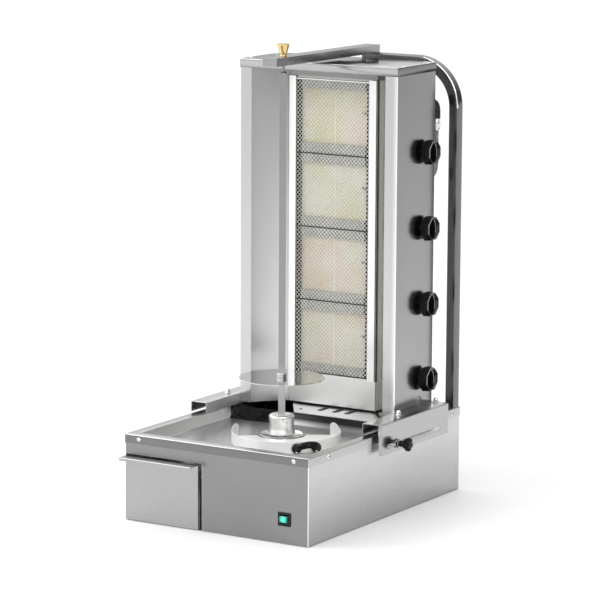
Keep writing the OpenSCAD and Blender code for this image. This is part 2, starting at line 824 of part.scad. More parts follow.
// Valve spindle that the gas knob sits on
module valve_spindle(k) {
  z = knob_z + k * knob_pitch;
  color(bright) bar_x([valve_x0 + 17, knob_y, z], spindle_r, knob_in + 8 - valve_x0 - 17);
}

// Gas knob: eight-sided body, grip bar and a bore for the spindle
module gas_knob(k) {
  z = knob_z + k * knob_pitch;
  corner_r = knob_d / 2 / cos(22.5);
  bar_l = 47;
  bar_w = 14;
  bar_h = 9;
  color(dark) translate([knob_in, knob_y, z]) difference() {
    union() {
      rotate([22.5, 0, 0]) rotate([0, 90, 0])
        cylinder(r1 = corner_r, r2 = corner_r * knob_taper, h = knob_t, $fn = 8);
      span([knob_t - 1, -bar_w / 2, -bar_l / 2], [knob_t + bar_h, bar_w / 2, bar_l / 2]);
    }
    bar_x([-cut, 0, 0], spindle_r + fit, 14 + cut);
  }
}

// ---------------------------------------------------------------- scoop

// Crescent scoop: floor cut out around the hub, upright wall with raised ends
module meat_scoop() {
  z0 = pan_floor + 0.4;
  hub_clear = 58;
  color(bright) intersection() {
    difference() {
      translate([scoop_x, scoop_y, z0]) cylinder(r = scoop_r, h = horn_h, $fn = 128);
      translate([scoop_x, scoop_y, z0 + scoop_t])
        cylinder(r = scoop_r - scoop_t, h = horn_h + cut, $fn = 128);
      translate([spit_x, spit_y, z0 - cut]) cylinder(r = hub_clear, h = horn_h + 2 * cut);
      translate([scoop_x, scoop_y, z0 - cut]) rotate([0, 0, scoop_a1 - 360])
        linear_extrude(height = horn_h + 2 * cut)
          polygon([[0, 0], [2 * scoop_r, 0],
                   2 * scoop_r * [cos(58), sin(58)],
                   2 * scoop_r * [cos(scoop_a0 - scoop_a1 + 360), sin(scoop_a0 - scoop_a1 + 360)]]);
    }
    translate([scoop_x, scoop_y, z0]) rotate([0, 0, 305.5]) rotate([90, 0, 0])
      linear_extrude(height = 3 * scoop_r, center = true)
        polygon([[-scoop_r, -cut], [scoop_r + cut, -cut], [scoop_r + cut, scoop_h], [0, scoop_h],
                 [-scoop_r * 0.4, horn_h], [-scoop_r, horn_h]]);
  }
}

// Black bow handle on two round feet outside the scoop's wall, tilted up
module scoop_handle() {
  bow = 24;
  grip_r = 8;
  foot_r = 11.5;
  foot_l = 9.5;
  tilt = 30;
  color(dark) translate([scoop_x, scoop_y, pan_floor + foot_r + 1]) rotate([0, 0, handle_a])
    translate([scoop_r + 0.2, 0, 0]) {
      for (s = [-1, 1]) bar_x([0, s * bow, 0], foot_r, foot_l);
      translate([5, 0, 0]) rotate([0, -tilt, 0]) rotate([0, 0, -90]) rotate_extrude(angle = 180)
        translate([bow, 0]) circle(r = grip_r);
    }
}

base_shell();
bottom_plate();
top_pan();
deck_plate();
drawer_bay_wall();
drawer();
gear_motor();
motor_bracket();
hub_ring();
switch_bezel();
switch_rocker();
cable_gland();
base_fasteners();
clamp_boss();
clamp_knob();
clamp_washers();
support_tube();
top_arm();
pin_bush();
pin_knob();
drive_shaft();
drive_hub();
hub_screw();
spit_bar();
meat_disc();
disc_collar();
left_rail();
right_rail();
tower_fasteners();
tower_shell();
top_cover();
left_reflector();
right_reflector();
burner_panel();
guard_trims();
mesh_guard();
for (k = [0 : burners - 1]) {
  burner_body(k);
  ceramic_tiles(k);
  valve_spindle(k);
  gas_knob(k);
}
thermocouples();
gas_valves();
gas_manifold();
gas_elbow();
gas_fitting();
gas_hose();
meat_scoop();
scoop_handle();
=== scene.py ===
"""Looks of the upright rotisserie grill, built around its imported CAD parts. Lengths are in millimetres."""
import json
import math

import bmesh
import bpy
from mathutils import Matrix, Vector

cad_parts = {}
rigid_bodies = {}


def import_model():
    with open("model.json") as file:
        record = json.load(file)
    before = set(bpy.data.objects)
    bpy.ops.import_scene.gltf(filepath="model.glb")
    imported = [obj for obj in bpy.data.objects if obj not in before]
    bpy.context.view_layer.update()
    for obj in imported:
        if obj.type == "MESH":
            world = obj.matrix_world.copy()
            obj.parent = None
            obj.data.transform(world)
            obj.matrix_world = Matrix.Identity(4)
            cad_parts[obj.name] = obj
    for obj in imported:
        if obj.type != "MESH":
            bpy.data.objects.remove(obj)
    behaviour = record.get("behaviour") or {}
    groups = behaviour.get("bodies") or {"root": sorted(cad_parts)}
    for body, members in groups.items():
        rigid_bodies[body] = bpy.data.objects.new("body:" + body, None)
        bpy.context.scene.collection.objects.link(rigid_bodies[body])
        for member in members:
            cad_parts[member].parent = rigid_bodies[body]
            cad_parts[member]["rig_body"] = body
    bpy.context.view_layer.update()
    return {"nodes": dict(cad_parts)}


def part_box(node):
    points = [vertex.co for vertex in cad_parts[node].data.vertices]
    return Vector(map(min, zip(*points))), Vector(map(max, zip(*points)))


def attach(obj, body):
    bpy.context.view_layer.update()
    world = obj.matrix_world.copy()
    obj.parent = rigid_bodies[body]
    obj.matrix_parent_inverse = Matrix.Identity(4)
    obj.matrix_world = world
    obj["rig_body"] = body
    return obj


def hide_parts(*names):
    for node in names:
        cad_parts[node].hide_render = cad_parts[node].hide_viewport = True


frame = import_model()
MM = 0.001
BURNERS = 4
SLOTS = (-6, 34, 68)
SLOT_HALF = 4.5
SPIT_TURN = 32


# ---------- camera, light and floor

def link_object(name, data):
    """Puts a new object with that data in the scene."""
    obj = bpy.data.objects.new(name, data)
    bpy.context.scene.collection.objects.link(obj)
    return obj


def add_camera():
    """A long lens at the viewing angle of a product shot, slightly above and to the right."""
    yaw, pitch, roll = 0.55324, 0.16959, 0.00549
    look = Vector((-math.sin(yaw) * math.cos(pitch), math.cos(yaw) * math.cos(pitch), -math.sin(pitch)))
    right = Vector((math.cos(yaw), math.sin(yaw), 0))
    up = right.cross(look)
    x = right * math.cos(roll) + up * math.sin(roll)
    y = up * math.cos(roll) - right * math.sin(roll)
    data = bpy.data.cameras.new("camera")
    data.sensor_width = 36
    data.lens = 191.9
    data.clip_end = 200
    camera = link_object("camera", data)
    camera.matrix_world = Matrix((x, y, -look)).transposed().to_4x4()
    camera.location = (3.853, -6.2249, 1.7392)
    bpy.context.scene.camera = camera


def add_softbox(name, place, size, power):
    """A rectangular light that faces the middle of the grill; its place and size are in metres."""
    data = bpy.data.lights.new(name, "AREA")
    data.shape = "RECTANGLE"
    data.size, data.size_y = size
    data.energy = power
    light = link_object(name, data)
    light.location = place
    light.rotation_mode = "QUATERNION"
    light.rotation_quaternion = (Vector((0, 0, 0.45)) - Vector(place)).to_track_quat("-Z", "Y")
    light.visible_camera = False


def fill(tree, inputs, values):
    """Links each named socket to its value, or sets it when the value is a constant."""
    for name, value in values.items():
        if isinstance(value, bpy.types.NodeSocket):
            tree.links.new(value, inputs[name])
        else:
            inputs[name].default_value = value


def add_node(tree, kind, values, **options):
    node = tree.nodes.new("ShaderNode" + kind)
    for name, value in options.items():
        setattr(node, name, value)
    fill(tree, node.inputs, values)
    return node


def add_studio():
    """A room that is bright overhead and in three directions, two soft boxes and a pale floor."""
    bpy.context.scene.view_settings.view_transform = "Standard"
    world = bpy.data.worlds.new("studio")
    bpy.context.scene.world = world
    world.use_nodes = True
    tree = world.node_tree
    tree.nodes.clear()
    where = tree.nodes.new("ShaderNodeTexCoord").outputs["Generated"]

    def towards(direction, low, high, start, end):
        """Light that grows from low to high as a ray turns towards direction."""
        dot = add_node(tree, "VectorMath", {0: where, 1: Vector(direction).normalized()}, operation="DOT_PRODUCT")
        values = {"Value": dot.outputs["Value"], "From Min": start, "From Max": end, "To Min": low, "To Max": high}
        return add_node(tree, "MapRange", values, interpolation_type="SMOOTHSTEP").outputs[0]

    light = towards((0, 0, 1), 0.12, 1.42, 0.1, 0.75)
    for glow in (((-0.75, -0.62, 0.1), 0.0, 1.15, 0.2, 0.95), ((-0.55, 0.8, 0.15), 0.0, 0.7, 0.5, 0.98),
                 ((0.53, -0.83, 0.3), 0.0, 0.9, 0.8, 0.98)):
        light = add_node(tree, "Math", {0: light, 1: towards(*glow)}).outputs[0]
    back = add_node(tree, "Background", {"Strength": light})
    add_node(tree, "OutputWorld", {0: back.outputs[0]})
    add_softbox("key", (-3.2, -2.6, 3.0), (2.4, 2.4), 60)
    add_softbox("edge", (3.2, -2.6, 2.8), (0.35, 1.1), 42)
    floor = bpy.data.meshes.new("floor")
    bm = bmesh.new()
    bmesh.ops.create_circle(bm, cap_ends=True, segments=64, radius=60)
    bm.to_mesh(floor)
    bm.free()
    floor.materials.append(floor_paint())
    link_object("floor", floor)


# ---------- materials

class Paint:
    """A material with a principled shader and short ways to feed it."""

    def __init__(self, name, colour, metallic=0.0, roughness=0.4):
        self.material = bpy.data.materials.new(name)
        self.material.use_nodes = True
        self.material.diffuse_color = (*colour, 1)
        self.tree = self.material.node_tree
        self.feed({"Base Color": (*colour, 1), "Metallic": metallic, "Roughness": roughness})
        self.place = self.tree.nodes.new("ShaderNodeTexCoord").outputs["Object"]

    def feed(self, values):
        """Fills sockets of the shader."""
        fill(self.tree, self.tree.nodes["Principled BSDF"].inputs, values)

    def node(self, kind, values, **options):
        return add_node(self.tree, kind, values, **options)

    def noise(self, scale, detail=3.0, roughness=0.5, stretch=(1, 1, 1)):
        place = self.node("Mapping", {"Vector": self.place, "Scale": stretch}).outputs[0]
        values = {"Vector": place, "Scale": scale, "Detail": detail, "Roughness": roughness}
        return self.node("TexNoise", values).outputs["Fac"]

    def along(self, axis):
        """The place along one axis of the object, in metres."""
        return self.node("SeparateXYZ", {0: self.place}).outputs["XYZ".index(axis)]

    def span(self, value, low, high, start=0.3, end=0.7):
        """The value's range from start to end, spread from low to high."""
        values = {"Value": value, "From Min": start, "From Max": end, "To Min": low, "To Max": high}
        return self.node("MapRange", values).outputs[0]

    def mix(self, share, a, b):
        a, b = ((*colour, 1) if isinstance(colour, tuple) else colour for colour in (a, b))
        return self.node("Mix", {"Factor": share, "A": a, "B": b}, data_type="RGBA").outputs["Result"]

    def math(self, kind, a, b=0.0):
        return self.node("Math", {0: a, 1: b}, operation=kind).outputs[0]

    def paint_shade(self, tone, colour, painted_shade):
        """Paints shade by taking tone down along each listed axis: (axis, lit place, shaded place, share)."""
        for axis, bright, dim, share in painted_shade:
            tone = self.mix(self.span(self.along(axis), 0, 1, bright, dim), tone, scaled(colour, share))
        return tone

    def bump(self, height, strength, distance=0.001, under=None):
        values = {"Height": height, "Strength": strength, "Distance": distance}
        if under is not None:
            values["Normal"] = under
        normal = self.node("Bump", values).outputs[0]
        self.feed({"Normal": normal})
        return normal


def scaled(colour, k):
    return tuple(min(1.0, c * k) for c in colour)


def floor_paint():
    m = Paint("floor_paint", (0.86, 0.86, 0.86), roughness=0.6)
    m.feed({"Roughness": m.span(m.noise(3.0), 0.55, 0.65), "Specular IOR Level": 0.2})
    return m.material


GRAINS = {"x": (1, 60, 60), "y": (60, 1, 60), "z": (60, 60, 1)}


def brushed(name, colour, roughness=0.3, grain="x", wave=0.2, depth=0.03, painted_shade=()):
    """Rolled stainless sheet: fine grain along one axis, soft unevenness, faint handling marks and optional painted
    shade along listed axes.
    """
    m = Paint(name, colour, 1.0, roughness)
    fine = m.noise(42, 5.0, 0.75, GRAINS[grain])
    broad = m.noise(5, 2.0, 0.5, tuple(1 + 0.02 * g for g in GRAINS[grain]))
    tone = m.mix(m.span(fine, 0, 1), scaled(colour, 0.98), scaled(colour, 1.015))
    tone = m.mix(m.span(broad, 0.0, 0.5), tone, scaled(colour, 0.86))
    marks = m.span(m.noise(28, 4.0, 0.6), 0.0, 0.03)
    rough = m.math("ADD", m.span(fine, roughness - 0.02, roughness + 0.02), marks)
    m.feed({"Base Color": m.paint_shade(tone, colour, painted_shade), "Roughness": rough})
    m.bump(fine, depth, 0.0003, m.bump(m.noise(3.2, 1.0, 0.4), wave, 0.002))
    return m.material


def polished(name, colour, roughness=0.12, wave=0.3, painted_shade=(), metallic=1.0, edge=(1, 1, 1)):
    """Bright annealed sheet whose reflections waver a little; edge tints them at grazing angles; optional painted
    shade along listed axes.
    """
    m = Paint(name, colour, metallic, roughness)
    streak = m.noise(9, 5.0, 0.65, (30, 30, 1))
    tone = m.mix(m.span(streak, 0, 1), scaled(colour, 0.96), scaled(colour, 1.02))
    m.feed({"Base Color": m.paint_shade(tone, colour, painted_shade), "Specular Tint": (*edge, 1),
            "Roughness": m.span(m.noise(16, 4.0), roughness * 0.9, roughness * 1.15)})
    m.bump(m.noise(4.5, 1.0, 0.4), wave, 0.002)
    return m.material


def shaded_at_sides(name, colour, roughness=0.36):
    """Stamped burner steel, with painted shade that makes it black along its two sides."""
    m = Paint(name, colour, 1.0, roughness)
    mottle = m.noise(40, 4.0, 0.6)
    # Painted shade: black beyond a band near each side, with a slightly uneven border.
    edge = m.math("ADD", m.math("ABSOLUTE", m.along("X")), m.span(mottle, -0.0006, 0.0006))
    clean = m.mix(m.span(mottle, 0, 1), scaled(colour, 0.8), scaled(colour, 1.1))
    m.feed({"Base Color": m.mix(m.span(edge, 0, 1, 0.0862, 0.0876), clean, (0.02, 0.02, 0.018)),
            "Roughness": m.span(mottle, roughness - 0.05, roughness + 0.1)})
    m.bump(m.noise(6, 2.0), 0.2, 0.001)
    return m.material


def grained(name, colour, roughness, tones, patches, grain, spread, height=None, metallic=1.0):
    """A material that drifts between two tones in patches, with a fine grain in its gloss and its surface.

    patches and grain are what noise takes; height is the strength and depth of the grain's bump."""
    m = Paint(name, colour, metallic, roughness)
    grain = m.noise(*grain)
    drift = grain if patches is None else m.noise(*patches)
    m.feed({"Base Color": m.mix(m.span(drift, 0, 1), *tones),
            "Roughness": m.span(grain, roughness - spread[0], roughness + spread[1])})
    if height:
        m.bump(grain, *height)
    return m


def cast_metal(name, colour, roughness=0.28):
    """Metal with the grit of a sand casting."""
    return grained(name, colour, roughness, (scaled(colour, 0.9), colour), (60, 3.0), (420, 4.0, 0.7), (0.06, 0.1),
                   (0.25, 0.0004)).material


def turned(name, colour, roughness=0.2, axis="Z"):
    """Metal off the lathe, with fine rings across its axis."""
    rings = (22, 3.0, 0.6, tuple(1.0 if a != axis else 90.0 for a in "XYZ"))
    return grained(name, colour, roughness, (scaled(colour, 0.93), scaled(colour, 1.03)), None, rings, (0.05, 0.06),
                   (0.08, 0.0003)).material


def painted(name, colour, roughness=0.45):
    """A matt coat with a faint orange peel."""
    return grained(name, colour, roughness, (scaled(colour, 0.85), scaled(colour, 1.1)), (22, 3.0), (260, 2.0, 0.5),
                   (0.06, 0.08), (0.2, 0.0004), 0.0).material


def moulded(name, colour, roughness=0.3, grain=0.12):
    """Black thermoset: glossy skin with a fine orange peel and dusty patches."""
    m = grained(name, colour, roughness, (colour, tuple(c * 1.5 + 0.001 for c in colour)), None, (55, 4.0, 0.6),
                (0.05, 0.1), metallic=0.0)
    m.feed({"Specular IOR Level": 0.1, "Coat Weight": 0.1, "Coat Roughness": 0.03})
    m.bump(m.noise(900, 3.0, 0.6), grain, 0.0002)
    return m.material


def ceramic():
    """Perforated firing tile: cream, with yellow and pink patches and rows of small holes painted as darker dots of
    shade with a bump.
    """
    m = Paint("ceramic", (0.72, 0.69, 0.58), 0.0, 0.85)
    warm = m.mix(m.span(m.noise(14, 2.0), 0.0, 0.8, 0.42, 0.68), (0.72, 0.71, 0.61), (0.66, 0.64, 0.4))
    pink = m.mix(m.span(m.noise(9, 1.0, stretch=(1.3, 1, 1)), 0.0, 0.6, 0.52, 0.68), warm, (0.74, 0.57, 0.47))
    holes = m.node("TexVoronoi", {"Vector": m.place, "Scale": 560, "Randomness": 0.12})
    dots = m.span(holes.outputs["Distance"], 1.0, 0.0, 0.18, 0.34)
    # Painted shade: the holes darken the colour in small dots.
    m.feed({"Base Color": m.mix(m.math("MULTIPLY", dots, 0.45), pink, (0.36, 0.3, 0.2)),
            "Roughness": m.span(m.noise(120), 0.8, 0.95)})
    m.bump(m.math("SUBTRACT", 1.0, dots), 0.5, 0.0006)
    return m.material


def lit_lens(centre):
    """Green lens of a lit switch, brightest in its middle."""
    m = Paint("green_lens", (0.0, 0.3, 0.2), 0.0, 0.22)
    distance = m.node("VectorMath", {0: m.place, 1: centre}, operation="DISTANCE").outputs["Value"]
    glow = m.span(distance, 1.0, 0.0, 0.002, 0.0095)
    m.feed({"Base Color": m.mix(glow, (0.0, 0.16, 0.1), (0.05, 0.75, 0.5)),
            "Emission Color": m.mix(glow, (0.0, 0.05, 0.03), (0.02, 0.62, 0.4)),
            "Emission Strength": 0.75, "Coat Weight": 0.6})
    m.bump(m.noise(300, 2.0), 0.08, 0.0003)
    return m.material


# ---------- pieces

def to_mesh(name, bm):
    bmesh.ops.recalc_face_normals(bm, faces=bm.faces)
    mesh = bpy.data.meshes.new(name)
    bm.to_mesh(mesh)
    bm.free()
    return mesh


def smooth(mesh, auto=35):
    """Smooth shading, with edges sharper than auto degrees kept."""
    mesh.polygons.foreach_set("use_smooth", [True] * len(mesh.polygons))
    mesh.set_sharp_from_angle(angle=math.radians(auto))


def new_object(name, bm, material, auto=35):
    mesh = to_mesh(name, bm)
    mesh.materials.append(material)
    smooth(mesh, auto)
    return link_object(name, mesh)


def dress(obj, body, slot, *nodes):
    """Puts a finished piece on its body and hides the CAD nodes that it stands for; slot is not used."""
    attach(obj, body)
    if nodes:
        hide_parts(*nodes)
    return obj


def piece(name, bm, material, body, slot, *nodes, auto=35, edges=0):
    """A piece that needs no more work than breaking its edges once its mesh is made."""
    obj = new_object(name, bm, material, auto)
    if edges:
        soften(obj, edges)
    dress(obj, body, slot, *nodes)


def modified(obj, kind, **settings):
    """Applies a modifier to obj's mesh."""
    modifier = obj.modifiers.new(kind, kind)
    for name, value in settings.items():
        setattr(modifier, name, value)
    old = obj.data
    mesh = bpy.data.meshes.new_from_object(obj.evaluated_get(bpy.context.evaluated_depsgraph_get()))
    obj.modifiers.clear()
    obj.data = mesh
    bpy.data.meshes.remove(old)


def soften(obj, width, segments=2, angle=35):
    """Breaks the sharp edges of a finished piece."""
    modified(obj, "BEVEL", width=width * MM, segments=segments, limit_method="ANGLE",
             angle_limit=math.radians(angle), harden_normals=True)


def thicken(obj, thickness):
    """Gives a bare surface the thickness of sheet metal, behind its outer face."""
    modified(obj, "SOLIDIFY", thickness=thickness * MM, offset=-1)


def carve(obj, bm):
    """Cuts the solids in bm out of obj."""
    mesh = to_mesh("cutter", bm)
    cutter = link_object("cutter", mesh)
    modified(obj, "BOOLEAN", operation="DIFFERENCE", solver="EXACT", object=cutter)
    bpy.data.objects.remove(cutter)
    bpy.data.meshes.remove(mesh)
    smooth(obj.data)


def repaint(obj, material, chosen):
    """Gives the faces picked by chosen(middle, normal) another material."""
    obj.data.materials.append(material)
    slot = len(obj.data.materials) - 1
    for face in obj.data.polygons:
        if chosen(face.center / MM, face.normal):
            face.material_index = slot


def paint(node, material):
    """Gives a CAD node that stays visible its material."""
    mesh = frame["nodes"][node].data
    mesh.materials.clear()
    mesh.materials.append(material)
    for face in mesh.polygons:
        face.material_index = 0


def rounded(node, name, material, slot, width, segments=2):
    """A copy of a CAD node with its edges broken by a small radius."""
    source = frame["nodes"][node]
    bm = bmesh.new()
    bm.from_mesh(source.data)
    bmesh.ops.remove_doubles(bm, verts=bm.verts, dist=1e-6)
    bmesh.ops.dissolve_limit(bm, angle_limit=math.radians(1), verts=bm.verts, edges=bm.edges)
    obj = new_object(name, bm, material)
    soften(obj, width, segments)
    return dress(obj, source["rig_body"], slot, node)


def box_mm(node):
    low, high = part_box(node)
    return low / MM, high / MM


def middle(node):
    low, high = box_mm(node)
    return (low + high) / 2


# ---------- shapes

def skin(bm, loops, first=True, last=True, around=False):
    """Faces between closed loops of equal length. The end loops are filled, or joined when it goes around."""
    rings = [[bm.verts.new(Vector(p) * MM) for p in loop] for loop in loops]
    if around:
        rings.append(rings[0])
    for a, b in zip(rings, rings[1:]):
        for i, j in zip(range(len(a)), (*range(1, len(a)), 0)):
            bm.faces.new((a[i], a[j], b[j], b[i]))
    if first and not around:
        bm.faces.new(rings[0])
    if last and not around:
        bm.faces.new(rings[-1])


def made(shape, *values, **options):
    """A new mesh that holds one shape."""
    bm = bmesh.new()
    shape(bm, *values, **options)
    return bm


def arc(start, end, steps):
    """The cosine and sine of steps + 1 angles from start to end, in degrees."""
    angles = (math.radians(start + (end - start) * k / steps) for k in range(steps + 1))
    return [Vector((math.cos(a), math.sin(a))) for a in angles]


def fillet(points, radius, steps=5, closed=False):
    """Rounds the corners of a flat outline with arcs of that radius."""
    points = [Vector(p) for p in points]
    made = []
    for i, p in enumerate(points):
        if not closed and i in (0, len(points) - 1):
            made.append(p)
            continue
        a = (points[i - 1] - p).normalized()
        b = (points[(i + 1) % len(points)] - p).normalized()
        half = math.acos(max(-1, min(1, a.dot(b)))) / 2
        reach = radius / math.tan(half)
        centre = p + (a + b).normalized() * (radius / math.sin(half))
        start, end = p + a * reach - centre, p + b * reach - centre
        sweep = math.atan2(start.x * end.y - start.y * end.x, start.dot(end))
        for k in range(steps + 1):
            c, s = math.cos(sweep * k / steps), math.sin(sweep * k / steps)
            made.append(centre + Vector((start.x * c - start.y * s, start.x * s + start.y * c)))
    return made


def rectangle(x0, y0, x1, y1):
    return [(x0, y0), (x1, y0), (x1, y1), (x0, y1)]


def beside(points, distance, closed=False):
    """The same line moved to its left by distance."""
    moved = []
    for i, p in enumerate(points):
        ways = []
        if closed or i > 0:
            ways.append(p - points[i - 1])
        if closed or i < len(points) - 1:
            ways.append(points[(i + 1) % len(points)] - p)
        sides = [Vector((-d.y, d.x)).normalized() for d in ways]
        n = sum(sides, Vector((0, 0))).normalized()
        moved.append(p + n * (distance / max(0.3, n.dot(sides[0]))))
    return moved


def lifted(outline, t, axis):
    """A flat outline's points at t along axis x, y or z."""
    return [{"x": (t, p.x, p.y), "y": (p.x, t, p.y), "z": (p.x, p.y, t)}[axis] for p in outline]


def extruded(bm, outline, low, high, axis):
    """A prism of a flat closed outline between low and high along axis."""
    skin(bm, [lifted(outline, t, axis) for t in (low, high)])


def folded(bm, points, radius, thickness, low, high, axis, closed=False):
    """Sheet metal bent along a flat path, thickness to its left, from low to high along axis."""
    outer = fillet(points, radius, closed=closed)
    inner = beside(outer, thickness, closed)
    if closed:
        skin(bm, [lifted(line, t, axis) for line, t in ((outer, low), (outer, high), (inner, high), (inner, low))],
             around=True)
    else:
        extruded(bm, outer + inner[::-1], low, high, axis)


def lathe(bm, profile, place, axis="z", segments=48, shape=None, hollow=False):
    """Turns a profile of (radius, height) about an axis through place. shape(angle) scales the radius.

    A hollow one has a profile that runs back to its own start."""
    turn = {"z": Matrix.Identity(3), "x": Matrix.Rotation(math.pi / 2, 3, "Y"),
            "y": Matrix.Rotation(-math.pi / 2, 3, "X")}[axis]
    around = [(a, shape(a) if shape else 1.0) for a in (2 * math.pi * k / segments for k in range(segments))]
    skin(bm, [[Vector(place) + turn @ Vector((r * s * math.cos(a), r * s * math.sin(a), h)) for a, s in around]
              for r, h in profile], not hollow, not hollow)
    if hollow:
        bmesh.ops.remove_doubles(bm, verts=bm.verts, dist=1e-6)


def hole(bm, radius, depth, place, axis="z", segments=32):
    """A round cutter that reaches depth from place along axis."""
    lathe(bm, [(radius, 0), (radius, depth)], place, axis, segments)


def hexagon(a):
    """Distance to the side of a hexagon at angle a, as a share of its corner radius."""
    return math.cos(math.pi / 6) / math.cos((a % (math.pi / 3)) - math.pi / 6)


def tube(bm, points, radius, sides=12):
    """Sweeps a round section along points without twisting it. The radius may depend on the share of the way."""
    points = [Vector(p) for p in points]
    last = len(points) - 1
    side = (points[1] - points[0]).normalized().orthogonal().normalized()
    loops = []
    for i, p in enumerate(points):
        t = (points[min(last, i + 1)] - points[max(0, i - 1)]).normalized()
        side = (side - t * side.dot(t)).normalized()
        other = t.cross(side)
        r = radius(i / last) if callable(radius) else radius
        angles = (2 * math.pi * k / sides for k in range(sides))
        loops.append([p + (side * math.cos(a) + other * math.sin(a)) * r for a in angles])
    skin(bm, loops)


def block(bm, low, high):
    """A box between two corners."""
    (x0, y0, z0), (x1, y1, z1) = low, high
    skin(bm, [[(x, y, z) for x, y in rectangle(x0, y0, x1, y1)] for z in (z0, z1)])


def moved(bm, place, *turns):
    """Turns bm about its origin by each (degrees, axis), the last one first, and puts it at place."""
    matrix = Matrix.Translation(Vector(place) * MM)
    for degrees, axis in turns:
        matrix = matrix @ Matrix.Rotation(math.radians(degrees), 4, axis)
    bmesh.ops.transform(bm, matrix=matrix, verts=bm.verts)


def corner_loop(low, high, radius, z, steps=6):
    """A rectangle with round corners at height z, always with the same number of points."""
    made = []
    mid = ((low[0] + high[0]) / 2, (low[1] + high[1]) / 2)
    for cx, cy, a0 in ((high[0], high[1], 0), (low[0], high[1], 90), (low[0], low[1], 180), (high[0], low[1], 270)):
        x, y = cx - math.copysign(radius, cx - mid[0]), cy - math.copysign(radius, cy - mid[1])
        made += [(x + radius * c, y + radius * s, z) for c, s in arc(a0, a0 + 90, steps)]
    return made


def lip_loops(low, high, radius, bend, bottom):
    """A lip that stands on bottom and bends inward to the level of the sheet's top face."""
    loops = [corner_loop(low, high, radius, bottom)]
    for c, s in arc(0, 90, 4):
        inset = bend * (1 - c)
        grow = Vector((inset, inset, 0))
        loops.append(corner_loop(low + grow, high - grow, radius - inset, high.z - bend + bend * s))
    return loops


def screw_head(bm, place, axis, radius, height):
    """A domed head that rises from place along axis, or against it after a minus sign."""
    curve = (radius * radius + height * height) / (2 * height)
    rim = math.asin(min(1, radius / curve))
    steps = 8
    sign = -1 if axis.startswith("-") else 1
    profile = [(radius, 0)]
    for k in range(steps):
        a = rim * (1 - k / (steps - 0.6))
        profile.append((curve * math.sin(a), sign * (height - curve * (1 - math.cos(a)))))
    lathe(bm, profile, place, axis[-1], 32)


# Painted shade: the base steel darkens towards the bottom.
STEEL = brushed("base_steel", (0.62, 0.62, 0.625), 0.25, "y", painted_shade=[("Z", 0.15, 0.0, 0.66)])
# Painted shade: a darker copy of the base steel for the base's front faces.
SHADED_FRONT = brushed("shaded_front_steel", (0.27, 0.27, 0.27), 0.27, "x")
DRAWER = brushed("drawer_steel", (0.41, 0.41, 0.41), 0.27, "x")
LID = brushed("lid_steel", (0.6, 0.6, 0.6), 0.24, "x")
# Painted shade: a dark copy of the lid steel for the skirt's front.
SHADED_SKIRT = brushed("shaded_skirt_steel", (0.2, 0.2, 0.2), 0.24, "x")
SKIRT_SIDE = brushed("skirt_side_steel", (0.54, 0.54, 0.545), 0.2, "y")
# Painted light and shade: the tower steel is bright only at the right flange's outer strip and darker inward of it.
TOWER = brushed("tower_steel", (0.8, 0.8, 0.805), 0.22, "z", painted_shade=[("X", 0.2125, 0.202, 0.67)])
# Painted shade: a darker copy of the tower steel for the tower's sides and back, darker still towards the top.
SHADED_SIDE = brushed("shaded_side_steel", (0.39, 0.39, 0.395), 0.2, "z", painted_shade=[("Z", 0.35, 1.03, 0.68)])
PAN = polished("pan_steel", (0.5, 0.5, 0.5), 0.24, metallic=0.78)
# Painted light: a brighter copy of the steel for the pan's right inner wall.
LIT_PAN_SIDE = brushed("lit_pan_side_steel", (0.86, 0.86, 0.86), 0.34, "y")
# Painted shade: the deck darkens towards its left.
DECK = brushed("deck_steel", (0.62, 0.62, 0.63), 0.3, "x", painted_shade=[("X", 0.1, -0.05, 0.8)])
# Painted shade: dark steel for the pan's rear wall under the deck and the dished slots' slopes, darkest towards the
# top.
PAN_SHADE = brushed("pan_shade_steel", (0.26, 0.26, 0.26), 0.36, "x", painted_shade=[("Z", 0.181, 0.19, 0.1)])
# Painted highlight: a near-white copy of the steel for the bends of folded corners and edges.
BEND_HIGHLIGHT = brushed("bend_highlight_steel", (0.95, 0.95, 0.95), 0.2, "z")
# Painted highlight on the bend of the lid's front rim, dimmer than the other bends.
RIM_HIGHLIGHT = brushed("rim_highlight_steel", (0.62, 0.62, 0.62), 0.24, "x")
# Flat black: the colour of the lower guard bars, and painted shade in the drawer's side gap.
BLACK_AND_SHADE = painted("black_and_shade", (0.02, 0.02, 0.018), 0.7)
MIRROR = polished("mirror_steel", (0.66, 0.66, 0.655), 0.07, 0.15)
TRIM = brushed("trim_steel", (0.96, 0.96, 0.95), 0.35, "z")
# Painted shade: the support tube's steel is darkened as a whole.
SHADED_TUBE = brushed("shaded_tube_steel", (0.2, 0.2, 0.2), 0.2, "z")
ARM = brushed("arm_steel", (0.38, 0.38, 0.38), 0.2, "y")
# Painted shade: the spit bar darkens above a height of about 0.33 m.
SPIT = brushed("spit_steel", (0.5, 0.51, 0.485), 0.28, "z", painted_shade=[("Z", 0.32, 0.345, 0.6)])
RAIL = brushed("rail_steel", (0.7, 0.7, 0.7), 0.22, "y")
# Painted light: a brighter, less metallic copy of the rail steel for the left rail's inner face.
LIT_RAIL_SIDE = polished("lit_rail_side_steel", (0.56, 0.56, 0.56), 0.3, metallic=0.45)
PLATE = brushed("plate_steel", (0.5, 0.5, 0.505), 0.18, "y")
COVER = brushed("cover_steel", (0.46, 0.46, 0.46), 0.2, "x")
# Painted light: a brighter copy of the cover steel for its top, with painted shade towards its left.
LIT_COVER_TOP = polished("lit_cover_top", (0.85, 0.85, 0.85), 0.12, 0.3, [("X", 0.165, 0.115, 0.26)])
# Painted shade: a dark copy of the cover steel for its right-facing lip.
SHADED_COVER_SIDE = brushed("shaded_cover_side", (0.2, 0.2, 0.2), 0.2, "y")
